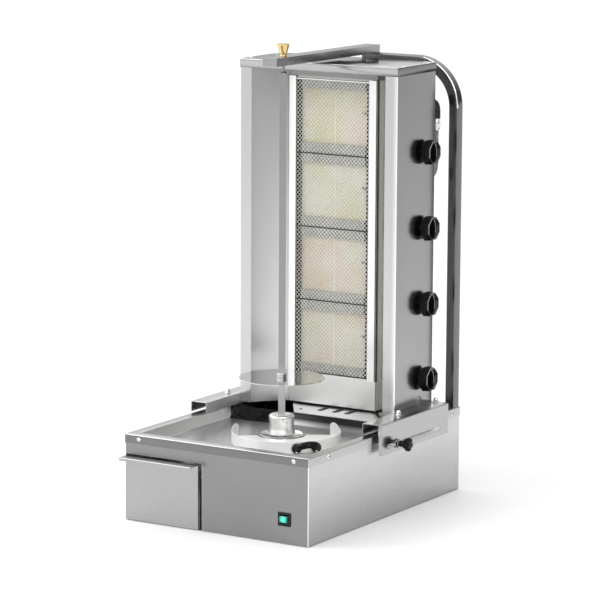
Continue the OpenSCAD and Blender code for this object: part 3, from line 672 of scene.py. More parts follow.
# Painted shade: the left reflector darkens towards its top and towards its left edge.
WING = brushed("wing_steel", (0.84, 0.84, 0.845), 0.3, "z", 0.08,
               painted_shade=[("Z", 0.3, 1.0, 0.42), ("X", -0.125, -0.2, 0.5)])
# Painted shade: a dark copy of the reflector steel for the right reflector.
SHADED_WING_RIGHT = polished("shaded_wing_steel_right", (0.18, 0.18, 0.168), 0.14, 0.4, edge=(0.66, 0.66, 0.62))
# Painted shade: the burner surround turns dark at its very top, under the cover.
PANEL = brushed("panel_steel", (0.86, 0.86, 0.84), 0.3, "x", painted_shade=[("Z", 0.98, 0.992, 0.32)])
SCOOP = polished("scoop_steel", (0.93, 0.93, 0.92), 0.34, metallic=0.45)
CAST_BRIGHT = cast_metal("cast_ring", (0.8, 0.8, 0.79), 0.2)
BRIGHT = turned("bright_metal", (0.8, 0.8, 0.8), 0.14)
BRIGHT_X = turned("bright_bolt", (0.8, 0.8, 0.8), 0.14, "X")
CAST = cast_metal("cast_aluminium", (0.82, 0.82, 0.81), 0.34)
BLACK = moulded("black_plastic", (0.003, 0.003, 0.0035), 0.07, 0.03)
# Painted highlight: a lighter glossy black for the knobs' edges.
EDGE_HIGHLIGHT = moulded("knob_edge_highlight", (0.2, 0.2, 0.2), 0.2, 0.1)
SATIN_BLACK = moulded("satin_plastic", (0.015, 0.015, 0.016), 0.42, 0.3)
BRASS = turned("brass", (0.78, 0.58, 0.27), 0.2)
MOTOR = painted("motor_paint", (0.1, 0.11, 0.12))
IRON = cast_metal("black_iron", (0.04, 0.04, 0.042), 0.4)
BURNER = shaded_at_sides("burner_steel", (0.4, 0.4, 0.39))
WIRE = grained("wire", (0.86, 0.86, 0.84), 0.3, ((0.88, 0.88, 0.86), (0.74, 0.72, 0.66)), (7, 2.0), (200,),
               (0.08, 0.08)).material
BRAID = grained("braid", (0.6, 0.6, 0.58), 0.34, ((0.5, 0.5, 0.49), (0.68, 0.68, 0.66)), (90, 3.0), (400,),
                (0.08, 0.1)).material
CERAMIC = ceramic()
CEMENT = painted("cement", (0.88, 0.87, 0.8), 0.8)


# ---------- base

def make_base_shell():
    """The base's four walls, with openings for the drawer, switch, gland and clamp boss."""
    low, high = box_mm("base_shell")
    drawer_low, drawer_high = box_mm("drawer")
    bay_right = box_mm("drawer_bay_wall")[1].x
    switch, gland, clamp = middle("switch_bezel"), middle("cable_gland"), middle("clamp_boss")
    bm = bmesh.new()
    folded(bm, rectangle(low.x, low.y, high.x, high.y), 2.2, 1.2, low.z, high.z, "z", closed=True)
    obj = new_object("base_shell_skin", bm, STEEL)
    cut = bmesh.new()
    block(cut, (drawer_low.x - 1, low.y - 2, low.z - 2), (bay_right + 0.8, low.y + 4, drawer_high.z + 3.5))
    block(cut, (switch.x - 13, low.y - 2, switch.z - 12), (switch.x + 13, low.y + 4, switch.z + 12))
    hole(cut, 10, 8, (gland.x, high.y - 4, gland.z), "y")
    hole(cut, 6, 8, (high.x - 4, clamp.y, clamp.z), "x")
    # Painted shade on the front faces.
    repaint(obj, SHADED_FRONT, lambda p, n: n.y < -0.7)
    # Painted highlight on the front-right corner's bend.
    repaint(obj, BEND_HIGHLIGHT, lambda p, n: n.x > 0.2 and n.y < -0.2)
    # Painted shade on the rear-right corner's bend.
    repaint(obj, SHADED_FRONT, lambda p, n: n.x > 0.2 and n.y > 0.2)
    carve(obj, cut)
    dress(obj, "base", "brushed_steel", "base_shell")


def make_lid():
    """Lid with its skirt and the sunk pan, bent from one sheet, with the drop opening cut out."""
    low, high = box_mm("top_pan")
    top, bottom = high.z, low.z + 1.2
    half, front, rear = 222, -316.5, 66
    slope, rear_extra = 8, 7
    loops = lip_loops(low, high, 2.2, 1.8, top - 20.5)
    for reach, z in fillet([(-20, top), (0, top), (slope, bottom), (slope + 20, bottom)], 4.5)[1:]:
        back = rear - reach - rear_extra * max(0, min(1, reach / slope))
        loops.append(corner_loop((reach - half, front + reach), (half - reach, back), 9, z))
    obj = new_object("lid_and_pan", made(skin, loops, first=False), LID)
    repaint(obj, PAN, lambda p, n: p.z < top - 1 and abs(p.x) < half and front < p.y < rear)
    # Painted shade on the skirt's front.
    repaint(obj, SHADED_SKIRT, lambda p, n: n.y < -0.7 and p.y < front - 20)
    # Painted shade on the pan's rear wall under the deck.
    repaint(obj, PAN_SHADE, lambda p, n: n.y < -0.3 and p.y > 40)
    # Painted light on the pan's right inner wall.
    repaint(obj, LIT_PAN_SIDE, lambda p, n: n.x < -0.15 and 205 < p.x < 223)
    # Painted highlight on the front rim's bend.
    repaint(obj, RIM_HIGHLIGHT, lambda p, n: p.y < front - 20 and n.y < -0.25 and (n.z > 0.25 or n.x > 0.25))
    repaint(obj, SKIRT_SIDE, lambda p, n: n.x > 0.7 and p.x > half + 15)
    thicken(obj, 1.1)
    cut = bmesh.new()
    block(cut, (-214, 43, bottom - 8), (-50, 196, top + 5))
    foot = box_mm("support_tube")[1]
    block(cut, (foot.x - 25.2, foot.y - 25.2, top - 8), (foot.x + 0.2, foot.y + 0.2, top + 5))
    spit = middle("drive_shaft")
    hole(cut, 14, 20, (spit.x, spit.y, bottom - 10))
    carve(obj, cut)
    cut_slots(obj, top - 6, top + 3)
    dress(obj, "base", "brushed_steel", "top_pan")


def cut_slots(obj, low, high):
    """Three long drain slots through the deck sheet and the lid under it."""
    cut = bmesh.new()
    for x in SLOTS:
        outline = rectangle(x - SLOT_HALF, 112.5, x + SLOT_HALF, 152.5)
        extruded(cut, fillet(outline, SLOT_HALF - 0.1, closed=True), low, high, "z")
    carve(obj, cut)


def make_deck():
    """Loose sheet behind the pan, with three dished slots and a locating screw."""
    low, high = box_mm("deck_plate")
    bm = bmesh.new()
    corners = [(-48, low.y), (high.x, low.y), (high.x, high.y), (low.x, high.y), (low.x, 165)]
    extruded(bm, fillet(corners, 2, closed=True), low.z, high.z, "z")
    obj = new_object("deck_sheet", bm, DECK)
    dish = bmesh.new()
    for x in SLOTS:
        loops = []
        for grow, z in ((3, 0.1), (3, -0.02), (0.5, -1.3), (0.5, -1.4)):
            half = SLOT_HALF + grow
            oval = fillet(rectangle(x - half, 117 - half, x + half, 148 + half), half - 0.1, closed=True)
            loops.append([(p.x, p.y, high.z + z) for p in oval])
        skin(dish, loops)
    carve(obj, dish)
    # Painted shade on the sloped sides of the dished slots.
    repaint(obj, PAN_SHADE, lambda p, n: p.z > low.z + 0.05 and 0.05 < n.z < 0.995 and abs(p.y - 132) < 30)
    cut_slots(obj, low.z - 1, high.z + 1)
    dress(obj, "base", "brushed_steel", "deck_plate")
    piece("deck_screw", made(screw_head, (-52, 105, high.z), "z", 4, 1.8), IRON, "base", "black_iron")


def make_drawer():
    """Open tray, its front, and the lip that is bent out and down to pull it by."""
    low, high = box_mm("drawer")
    face_y = -344.5
    bm = bmesh.new()
    front = [(low.y, high.z - 7.5), (low.y, high.z), (face_y, high.z), (face_y, low.z)]
    folded(bm, front, 2.6, -1.5, low.x, high.x - 3.5, "x")
    y0, y1 = face_y + 1.7, high.y
    tray = bmesh.new()
    rim, foot = [corner_loop((low.x, y0), (high.x, y1), 2, z) for z in (120, low.z + 2)]
    skin(tray, [rim, foot, corner_loop((low.x + 2, y0 + 2), (high.x - 2, y1 - 2), 1, low.z)], first=False)
    body = new_object("drawer_tray", tray, LID)
    thicken(body, 1.1)
    obj = new_object("drawer_front", bm, DRAWER)
    soften(obj, 0.4)
    # Painted shade: the tray's front-right corner is black where the drawer's side gap lies in shade.
    repaint(body, BLACK_AND_SHADE, lambda p, n: p.y < y0 + 5 and p.x > high.x - 4)
    dress(obj, "drawer", "brushed_steel", "drawer")
    dress(body, "drawer", "brushed_steel")


def make_switch():
    """Black snap-in frame and the lit green rocker in it."""
    rounded("switch_bezel", "switch_frame", SATIN_BLACK, "black_plastic", 0.9, 3)
    low, high = box_mm("switch_rocker")
    centre = middle("switch_rocker")
    pivot_y = -338.5
    radius = pivot_y - low.y
    outline = [Vector((pivot_y - radius * c, centre.z + radius * s)) for c, s in arc(-36, 36, 12)]
    outline += [Vector((pivot_y - 1, high.z - 1)), Vector((pivot_y - 1, low.z + 1))]
    obj = new_object("rocker_lens", made(extruded, outline, low.x, high.x, "x"),
                     lit_lens((centre.x * MM, low.y * MM, centre.z * MM)))
    soften(obj, 0.8, 3)
    dress(obj, "switch_rocker", "green_lens", "switch_rocker")


def make_base_screws():
    """Cross-head screws along the lid's skirt: two in front and two on each side; their cross recesses are black
    blocks of painted shade.
    """
    z, front, side = 191, 345.7, 247.2
    bm, recess_shade = bmesh.new(), bmesh.new()
    for x in (-209, 207):
        screw_head(bm, (x, -front, z), "-y", 5.6, 3)
    for y in (-259, 305):
        screw_head(bm, (side, y, z), "x", 5.6, 3)
        screw_head(bm, (-side, y, z), "-x", 5.6, 3)
    # Painted shade: each cross recess is a black block set into the head.
    for wide, tall in ((2.8, 0.5), (0.5, 2.8)):
        for x in (-209, 207):
            block(recess_shade, (x - wide, -front - 2.95, z - tall), (x + wide, -front - 1.5, z + tall))
        for y in (-259, 305):
            for x in (-side - 2.95, side + 1.5):
                block(recess_shade, (x, y - wide, z - tall), (x + 1.45, y + wide, z + tall))
    piece("lid_screws", bm, BRIGHT, "base", "bright_metal", "base_fasteners")
    piece("lid_screw_recess_shade", recess_shade, IRON, "base", "bright_metal")


def make_clamp():
    """Star grip of the tower's clamp, on its stud, with two washers."""
    low, high = box_mm("clamp_knob")
    _, y, z = middle("clamp_knob")
    lobes, pitch = 5, 1.25

    def star(a):
        return 0.86 + 0.14 * math.cos(lobes * a) - 0.03 * math.cos(2 * lobes * a)

    bm = bmesh.new()
    body = [(13.2, 0), (15.4, 1.2), (16.2, 3), (16.2, 9.5), (15.2, 11.8), (12.5, 13), (6, 13)]
    lathe(bm, body, (high.x - 13, y, z), "x", 80, star)
    neck = [(10.2, 0), (10.8, 0.5), (10.8, 1.9), (10.2, 2.4), (8, 2.5), (7.6, 3.5), (7.6, 12), (8.4, 17), (8.5, 20)]
    lathe(bm, neck, (high.x - 32, y, z), "x")
    piece("star_grip", bm, BLACK, "clamp_knob", "black_plastic", "clamp_knob", auto=50)
    bm = bmesh.new()
    thread = []
    x = low.x
    while x < high.x - 32:
        thread += [(3.55, x - low.x), (4.0, x - low.x + 0.6)]
        x += pitch
    lathe(bm, thread, (low.x, y, z), "x", 24)
    lathe(bm, [(8.4, 0), (9.6, 0.2), (9.8, 0.7), (9.6, 1.2), (8.4, 1.4)], (high.x - 29.4, y, z), "x", 40)
    piece("clamp_stud", bm, BRIGHT_X, "clamp_knob", "bright_metal")
    low = box_mm("clamp_washers")[0]
    bm = bmesh.new()
    for x, r in ((low.x, 9.5), (low.x + 1.25, 8.6)):
        ring = [(4.3, 0), (r - 0.25, 0), (r, 0.25), (r, 0.8), (r - 0.25, 1.05), (4.3, 1.05), (4.3, 0)]
        lathe(bm, ring, (x, y, z), "x", 40, hollow=True)
    piece("clamp_washer_pair", bm, BRIGHT_X, "clamp_knob", "bright_metal", "clamp_washers")


def make_inside():
    """Motor, its bracket, the bay wall, the floor and the cable gland."""
    rounded("bottom_plate", "floor_sheet", STEEL, "brushed_steel", 0.6)
    rounded("drawer_bay_wall", "bay_wall", STEEL, "brushed_steel", 0.4)
    rounded("motor_bracket", "motor_cradle", STEEL, "brushed_steel", 0.8)
    rounded("gear_motor", "motor_case", MOTOR, "motor_paint", 2.5, 3)
    gland = middle("cable_gland")
    wall = 344.5
    tail = box_mm("cable_gland")[0].y - wall
    bm = bmesh.new()
    for segments, profile in ((48, [(4, tail), (9.5, tail), (9.5, 0), (4, 0), (4, tail)]),
                              (72, [(4, 0), (13.02, 0), (14, 0.8), (14, 5.2), (13.02, 6), (4, 6), (4, 0)]),
                              (48, [(4, 6), (10, 6), (10, 12), (8.6, 16.5), (6.8, 18), (4, 18), (4, 6)])):
        lathe(bm, profile, (gland.x, wall, gland.z), "y", segments, hollow=True)
    piece("gland_body", bm, SATIN_BLACK, "base", "black_plastic", "cable_gland")


# ---------- support tube, arm and spit

def make_tube():
    """Square tube with rounded edges: up from the base's corner, one bend, level at the top."""
    low, high = box_mm("support_tube")
    half, bend = 12.5, 118
    x, y, z = high.x - half, (low.y + high.y) / 2, high.z - half
    mid = bend - half
    bend_middle = Vector((x - mid, z - mid))
    path = [Vector((x, low.z)), *(bend_middle + d * mid for d in arc(0, 90, 24)), Vector((low.x, z))]
    loops = []
    for size, radius, order in ((half, 3.2, 1), (half - 2, 1.4, -1)):
        section = fillet(rectangle(-size, -size, size, size), radius, closed=True)
        rings = []
        for i, p in enumerate(path):
            t = (path[min(len(path) - 1, i + 1)] - path[max(0, i - 1)]).normalized()
            rings.append([(p.x + t.y * s.x, y + s.y, p.y - t.x * s.x) for s in section])
        loops += rings[::order]
    obj = new_object("bent_tube", made(skin, loops, around=True), SHADED_TUBE, 50)
    # Painted highlight on the tube's front outer edge around the bend.
    repaint(obj, BEND_HIGHLIGHT, lambda p, n: n.y < -0.3 and n.x > 0.15 and p.z > high.z - bend and p.x < high.x - 0.5)
    dress(obj, "base", "brushed_steel", "support_tube")
    arm = rounded("top_arm", "arm_channel", ARM, "brushed_steel", 1.0, 3)
    # Painted highlight on the arm's front vertical edges.
    repaint(arm, BEND_HIGHLIGHT, lambda p, n: n.y < -0.2 and abs(n.x) > 0.2)


def make_pull_knob():
    """Brass knob: a bright collar, a long cone and a rounded crown, over the spit's top pin."""
    bottom, neck = box_mm("pin_knob")[0].z, 1056
    centre = middle("pin_knob")
    profile = [(3.6, bottom), (6.6, bottom), (7, bottom + 0.6)]
    profile += [(r, neck + h) for r, h in ((7, 0.4), (8.2, 0.8), (8.5, 1.6), (8.2, 2.6), (7.4, 3), (7.4, 3.6),
                                           (8.0, 5), (10.2, 13), (12.9, 22.5), (14, 25), (14.4, 26.6),
                                           (14.2, 28.2), (13, 29.2), (11, 29.4), (3, 29.4))]
    obj = new_object("pull_knob", made(lathe, profile, (centre.x, centre.y, 0), "z", 64), BRASS, 40)
    carve(obj, made(hole, 3.55, 1055 - bottom, (centre.x, centre.y, bottom - 2)))
    dress(obj, "pin_knob", "brass", "pin_knob")


def make_spit():
    """Bar, disc and collar."""
    rounded("spit_bar", "spit", SPIT, "brushed_steel", 0.9, 3)
    x, y, _ = middle("drive_shaft")
    low, high = box_mm("meat_disc")
    r = (high.x - low.x) / 2
    bm = bmesh.new()
    lathe(bm, [(8, low.z), (r - 0.9, low.z), (r - 0.2, low.z + 0.5), (r, low.z + 1.25), (r - 0.2, high.z - 0.5),
               (r - 0.9, high.z), (8, high.z)], (x, y, 0), "z", 160)
    obj = new_object("meat_plate", bm, MIRROR)
    square = bmesh.new()
    block(square, (-8.15, -8.15, low.z - 3), (8.15, 8.15, high.z + 3))
    moved(square, (x, y, 0), (SPIT_TURN, "Z"))
    carve(obj, square)
    dress(obj, "spit_drive", "mirror_steel", "meat_disc")
    low, high = box_mm("disc_collar")
    bm = bmesh.new()
    tall = high.z - low.z
    ring = [(8.4, 0), (11.4, 0), (12, 0.6), (12, tall - 1), (11, tall), (8.4, tall), (8.4, 0)]
    lathe(bm, ring, (x, y, low.z), hollow=True)
    piece("plate_collar", bm, BRIGHT, "spit_drive", "bright_metal", "disc_collar")


def make_hub():
    """Cast coupling with its clamp split and screw, and the bearing ring under it."""
    low, high = box_mm("drive_hub")
    x, y, _ = middle("drive_shaft")
    z = low.z
    profile = [(8.1, 0), (30.4, 0), (31.6, 0.8), (32, 2.6), (31.4, 5.2), (30, 9.5), (29, 14), (28.5, 20), (28.5, 26),
               (29, 32), (29.7, 37), (29.8, 40), (29.2, 43), (27.4, 45), (25, high.z - z), (11.5, high.z - z)]
    obj = new_object("coupling", made(lathe, profile, (x, y, z), "z", 96), CAST, 40)
    at_screw, to_screw = (x, y, z + 34), (-45, "Z")
    bore, square, cross, split = bmesh.new(), bmesh.new(), bmesh.new(), bmesh.new()
    hole(bore, 8.05, 17, (x, y, z - 2))
    block(square, (-8.2, -8.2, z + 16), (8.2, 8.2, high.z + 3))
    moved(square, (x, y, 0), (SPIT_TURN, "Z"))
    hole(cross, 3.2, 31, (9, 0, 0), "x", 24)
    moved(cross, at_screw, to_screw)
    block(split, (20, -9, -1.1), (40, 9, 1.1))
    moved(split, at_screw, to_screw, (-50, "X"))
    for cut in (bore, square, cross, split):
        carve(obj, cut)
    dress(obj, "spit_drive", "cast_aluminium", "drive_hub")
    bm = bmesh.new()
    lathe(bm, [(2.9, 11.5), (2.9, 30.2), (5, 30.2), (5.2, 30.8), (5.2, 33.6), (4.6, 34.3), (2.5, 34.5)], (0, 0, 0),
          "x", 36)
    moved(bm, at_screw, to_screw)
    screw = new_object("coupling_screw", bm, BRIGHT)
    slot = bmesh.new()
    block(slot, (33.2, -4.6, -0.7), (36, 4.6, 0.7))
    moved(slot, at_screw, to_screw, (35, "X"))
    carve(screw, slot)
    dress(screw, "spit_drive", "bright_metal", "hub_screw")
    floor = 174
    neck = box_mm("hub_ring")[0].z - floor
    bm = bmesh.new()
    ring = [(8.1, 2), (8.1, neck), (12, neck), (12, 0.1), (50, 0.1), (50.8, 0.6), (51, 1.2), (51, 3.4), (50.2, 4),
            (49, 4), (47.2, 2.8), (45, 2), (8.1, 2)]
    lathe(bm, ring, (x, y, floor), "z", 96, hollow=True)
    piece("bearing_ring", bm, CAST_BRIGHT, "base", "cast_aluminium", "hub_ring", auto=50)


# ---------- scoop

def make_scoop():
    """Crescent scoop: a floor around the coupling and an upright wall that ends in two raised horns."""
    z0 = box_mm("meat_scoop")[0].z
    centre, hub = Vector((43, -113)), middle("drive_shaft").xy
    radius, t, clear = 126, 1.5, 58
    a0, a1, steps = 184, 427, 120

    def wall_top(a):
        near = min(a - a0, a1 - a)
        rise = max(0, min(1, 1 - (near - 9) / 17))
        tip = max(0, 1 - near / 7)
        return 26.7 + 7.1 * (3 * rise ** 2 - 2 * rise ** 3) - 6 * tip ** 2

    rings = []
    for k, d in enumerate(arc(a0, a1, steps)):
        top = z0 + wall_top(a0 + (a1 - a0) * k / steps)
        p, m, q = (centre + d * (radius - t * share) for share in (0, 0.5, 1))
        rings.append([(v.x, v.y, z) for v, z in ((p, z0), (p, top - 0.5), (m, top), (q, top - 0.5), (q, z0 + t))])
    wall = new_object("scoop_wall", made(skin, rings), SCOOP)
    soften(wall, 0.3, 2, 60)
    rim = [centre + d * (radius - t - 0.05) for d in arc(a0, a1, 80)]
    left, right = (math.degrees(math.atan2(p.y - hub.y, p.x - hub.x)) for p in (rim[0], rim[-1]))
    mouth = [hub + d * clear for d in arc(right, left, 40)]
    plate = new_object("scoop_floor", made(extruded, rim + mouth, z0, z0 + t, "z"), SCOOP)
    dress(wall, "meat_scoop", "mirror_steel", "meat_scoop")
    dress(plate, "meat_scoop", "mirror_steel")


def make_handle():
    """Moulded bow handle that rises from two round feet, each screwed to the scoop's wall."""
    place, turn = (43, -113, 186.5), (323, "Z")
    tilt, bow, reach = math.radians(30), 24, 126.2
    points = [(reach + 5 + bow * c * math.cos(tilt), bow * s, bow * c * math.sin(tilt)) for c, s in arc(-90, 90, 40)]
    points = [(reach + 1.5, -bow, 0), *points, (reach + 1.5, bow, 0)]
    bm, screws = bmesh.new(), bmesh.new()
    tube(bm, points, lambda s: 7.4 + 0.5 * math.sin(math.pi * s) + 1.6 * (abs(2 * s - 1) ** 5), 20)
    for s in (-1, 1):
        foot = [(11.4, 0), (11.5, 1), (11.2, 5.5), (10, 8.4), (7.6, 9.4), (4, 9.4)]
        lathe(bm, foot, (reach, s * bow, 0), "x", 40)
        screw_head(screws, (reach + 9.2, s * bow - 1.5, -6.2), "x", 3.8, 1.8)
    moved(bm, place, turn)
    moved(screws, place, turn)
    piece("bow_handle", bm, BLACK, "meat_scoop", "black_plastic", "scoop_handle", auto=60)
    piece("handle_screws", screws, BRIGHT_X, "meat_scoop", "bright_metal")


# ---------- slide

NUT_X, NUTS_Y = 236, (69.5, 244)


def make_rails():
    """Channels under the tower's sides, and the slotted plate of the right one."""
    inner, outer, z0 = 213.75, 257, 202.3
    for side, node in ((-1, "left_rail"), (1, "right_rail")):
        low, high = box_mm(node)
        z1 = high.z
        bm = bmesh.new()
        path = [(side * inner, z0), (side * inner, z1), (side * outer, z1), (side * outer, z0)]
        folded(bm, path, 2, -1.5 * side, low.y, 258, "y")
        obj = new_object(node + "_channel", bm, RAIL)
        cut = bmesh.new()
        for y in NUTS_Y:
            hole(cut, 3.3, 12, (side * NUT_X, y, z1 - 6), "z", 24)
        carve(obj, cut)
        soften(obj, 0.3)
        # Painted light on the left rail's inner face.
        repaint(obj, LIT_RAIL_SIDE, lambda p, n: n.x > 0.7 and side < 0 and p.x > -inner - 0.3)
        dress(obj, "tower", "brushed_steel", node)
    bm = bmesh.new()
    folded(bm, [(255.6, high.z), (high.x, high.z), (high.x, low.z)], 2, -1.5, low.y, 252, "y")
    obj = new_object("slide_plate", bm, PLATE)
    cut = bmesh.new()
    z = middle("clamp_boss").z
    slot = fillet(rectangle(-34, z - 4.5, 215, z + 4.5), 4.4, closed=True)
    extruded(cut, slot, high.x - 5, high.x + 5, "x")
    carve(obj, cut)
    soften(obj, 0.35)
    dress(obj, "tower", "brushed_steel")
    bm = bmesh.new()
    block(bm, (257.1, low.y, low.z), (high.x - 1.5, low.y + 1.5, high.z - 1.6))
    piece("plate_return", bm, RAIL, "tower", "brushed_steel", edges=0.4)


def make_tower_nuts():
    """Domed nuts on washers along the rails, and the cover's screws."""
    bm = bmesh.new()
    rail_top, tower_top = box_mm("left_rail")[1].z, box_mm("top_cover")[1].z
    dome = [(5.5 * c, 6.2 + 5.4 * s) for c, s in arc(0, 80, 8)] + [(0.4, 11.6)]
    for side in (-1, 1):
        for y in NUTS_Y:
            place = (side * NUT_X, y, rail_top)
            lathe(bm, [(7.9, 0), (8.2, 0.3), (8.2, 0.9), (7.9, 1.2)], place, "z", 40)
            lathe(bm, [(6, 1.2), (6.3, 1.8), (6.3, 5.6), (5.8, 6.2)], place, "z", 60, hexagon)
            lathe(bm, dome, place, "z", 36)
        for y in (126, 241):
            screw_head(bm, (side * 207.75, y, tower_top), "z", 4, 2)
    piece("domed_nuts", bm, BRIGHT, "tower", "bright_metal", "tower_fasteners")


# ---------- tower

def make_tower_shell():
    """Sides, back and front flanges, folded from one sheet."""
    low, high = box_mm("tower_shell")
    flange = high.x - 32
    bm = bmesh.new()
    path = [(-flange, low.y), (low.x, low.y), (low.x, high.y), (high.x, high.y), (high.x, low.y), (flange, low.y)]
    folded(bm, path, 3.4, -1.2, low.z, high.z, "z")
    obj = new_object("tower_casing", bm, TOWER)
    cut = bmesh.new()
    for k in range(BURNERS):
        knob = middle(f"valve_spindle_{k + 1}")
        hole(cut, 6, 8, (high.x - 4, knob.y, knob.z), "x")
    pipe_x, rear = middle("gas_hose").x, high.y - 4
    for z in (box_mm("gas_elbow")[1].z - 11, box_mm("gas_hose")[0].z + 7):
        hole(cut, 12.5, 8, (pipe_x, rear, z), "y")
    hole(cut, 9, 8, (120, rear, 262), "y")
    # Painted shade on the tower's sides and back.
    repaint(obj, SHADED_SIDE, lambda p, n: n.y > -0.7)
    # Painted highlight on the tower's front corner bends and on the flanges' inner edges.
    repaint(obj, BEND_HIGHLIGHT, lambda p, n: abs(n.x) > 0.2 and n.y < -0.2 or abs(n.x) > 0.7 and abs(p.x) < flange + 1)
    carve(obj, cut)
    dress(obj, "tower", "brushed_steel", "tower_shell")


def make_cover():
    """Lid of the tower with a turned-down lip."""
    low, high = box_mm("top_cover")
    obj = new_object("tower_cover", made(skin, lip_loops(low, high, 2, 1.6, low.z), first=False), COVER)
    thicken(obj, 0.75)
    # Painted light on the cover's top.
    repaint(obj, LIT_COVER_TOP, lambda p, n: n.z > 0.9)
    # Painted shade on the cover's right-facing lip.
    repaint(obj, SHADED_COVER_SIDE, lambda p, n: n.x > 0.7)
    dress(obj, "tower", "brushed_steel", "top_cover")


def make_reflectors():
    """Sloped reflectors, the sheet around the burners and the bright trims beside the guard."""
    rounded("left_reflector", "mirror_wing_left", WING, "mirror_steel", 0.4)
    # Painted shade: the right reflector gets the dark copy of the reflector steel.
    rounded("right_reflector", "mirror_wing_right", SHADED_WING_RIGHT, "mirror_steel", 0.4)
    rounded("burner_panel", "burner_surround", PANEL, "burner_steel", 0.3)
    low, high = box_mm("guard_trims")
    for side, name, nodes in ((-1, "guard_trim_left", ["guard_trims"]), (1, "guard_trim_right", [])):
        bm = bmesh.new()
        path = [(side * 100, low.y), (side * high.x, low.y), (side * high.x, high.y)]
        folded(bm, path, 1.6, 1.2 * side, low.z, high.z, "z")
        piece(name, bm, TRIM, "tower", "mirror_steel", *nodes, edges=0.3)


def make_mesh():
    """Woven wire guard: two crossing sets of crimped wires on the diagonal, and its cross bars."""
    low, high = box_mm("mesh_guard")
    y = (low.y + high.y) / 2
    half, radius, crimp = 5, 0.68, 0.32
    width, height = high.x - low.x - 1, high.z - low.z - 1
    across, up = int(width / (2 * half)), int(height / (2 * half))
    bm = bmesh.new()
    for lean, first, last in ((-1, 0, int((width + height) / (2 * half)) + 1), (1, -up - 1, across + 1)):
        for i in range(first, last):
            points = []
            for j in range(int(height / half) + 2):
                z = min(j * half, height)
                x = (2 * i + 1) * half + lean * z
                if -0.01 <= x <= width + 0.01:
                    over = (1 if j % 2 == (lean < 0) else -1) * (1 if i % 2 else -1)
                    points.append((low.x + 0.5 + x, y + crimp * over, low.z + 0.5 + z))
            if len(points) > 1:
                tube(bm, points, radius, 5)
    piece("wire_guard", bm, WIRE, "tower", "wire_mesh", "mesh_guard", auto=80)
    for k in range(BURNERS + 1):
        bm = bmesh.new()
        z = low.z + 1.5 + (high.z - low.z - 3) * k / BURNERS
        block(bm, (low.x + 1, low.y + 0.1, z - 1.4), (high.x - 1, high.y, z + 1.4))
        piece(f"guard_bar_{k + 1}", bm, TRIM if k == BURNERS else BLACK_AND_SHADE, "tower", "wire_mesh", edges=0.5)


def make_burners():
    """Four burners: a stamped frame around two perforated ceramic tiles, with a sensor rod at the right."""
    sensors = bmesh.new()
    for k in range(1, BURNERS + 1):
        rounded(f"burner_body_{k}", f"burner_case_{k}", BURNER, "burner_steel", 0.5)
        low, high = box_mm(f"ceramic_tiles_{k}")
        bm = bmesh.new()
        for x0, x1 in ((low.x, -0.3), (0.3, high.x)):
            tile(bm, x0, x1, low.y, high.y, low.z, high.z)
        block(bm, (-1.2, low.y - 0.4, low.z + 0.5), (1.2, low.y + 2, high.z - 0.5))
        obj = new_object(f"firing_tiles_{k}", bm, CERAMIC, 60)
        repaint(obj, CEMENT, lambda p, n: abs(p.x) < 1.3 and n.y < -0.9)
        dress(obj, "tower", "ceramic", f"ceramic_tiles_{k}")
        y, z = 164, (low.z + high.z) / 2 + 12
        tube(sensors, [(112, y, z), (90, y, z), (84, y - 0.8, z), (78, y - 2, z + 2)], 1.9, 10)
        lathe(sensors, [(2.9, 0), (3.2, 0.6), (3.2, 9), (2.2, 10)], (97.8, y, z), "x", 20)
    piece("flame_sensors", sensors, IRON, "tower", "black_iron", "thermocouples")


def tile(bm, x0, x1, y0, y1, z0, z1):
    """One tile whose front is a field of small dimples inside a plain border."""
    cols, rows = int((x1 - x0) / 2.0), int((z1 - z0) / 2.0)
    grid = []
    for j in range(rows + 1):
        row = []
        for i in range(cols + 1):
            edge = i in (0, cols) or j in (0, rows)
            sunk = i % 2 == 1 and j % 2 == 1 and 1 < i < cols - 1 and 1 < j < rows - 1
            y = y0 + (0.5 if edge else 0.55 if sunk else 0)
            row.append(bm.verts.new(Vector((x0 + (x1 - x0) * i / cols, y, z0 + (z1 - z0) * j / rows)) * MM))
        grid.append(row)
    for j in range(rows):
        for i in range(cols):
            bm.faces.new((grid[j][i], grid[j][i + 1], grid[j + 1][i + 1], grid[j + 1][i]))
    ring = grid[0] + [row[-1] for row in grid[1:]] + grid[-1][-2::-1] + [row[0] for row in grid[-2:0:-1]]
    back = [bm.verts.new(Vector((v.co.x, y1 * MM, v.co.z))) for v in ring]
    for i, j in zip(range(len(ring)), (*range(1, len(ring)), 0)):
        bm.faces.new((ring[j], ring[i], back[i], back[j]))
    bm.faces.new(back)


# ---------- gas

def octagon(a):
    """Distance to the side of an octagon with slightly round corners, as a share of its inner radius."""
    step = math.pi / 4
    flat = 1 / math.cos((a + step / 2) % step - step / 2)
    return 1 + (flat - 1) * 0.9


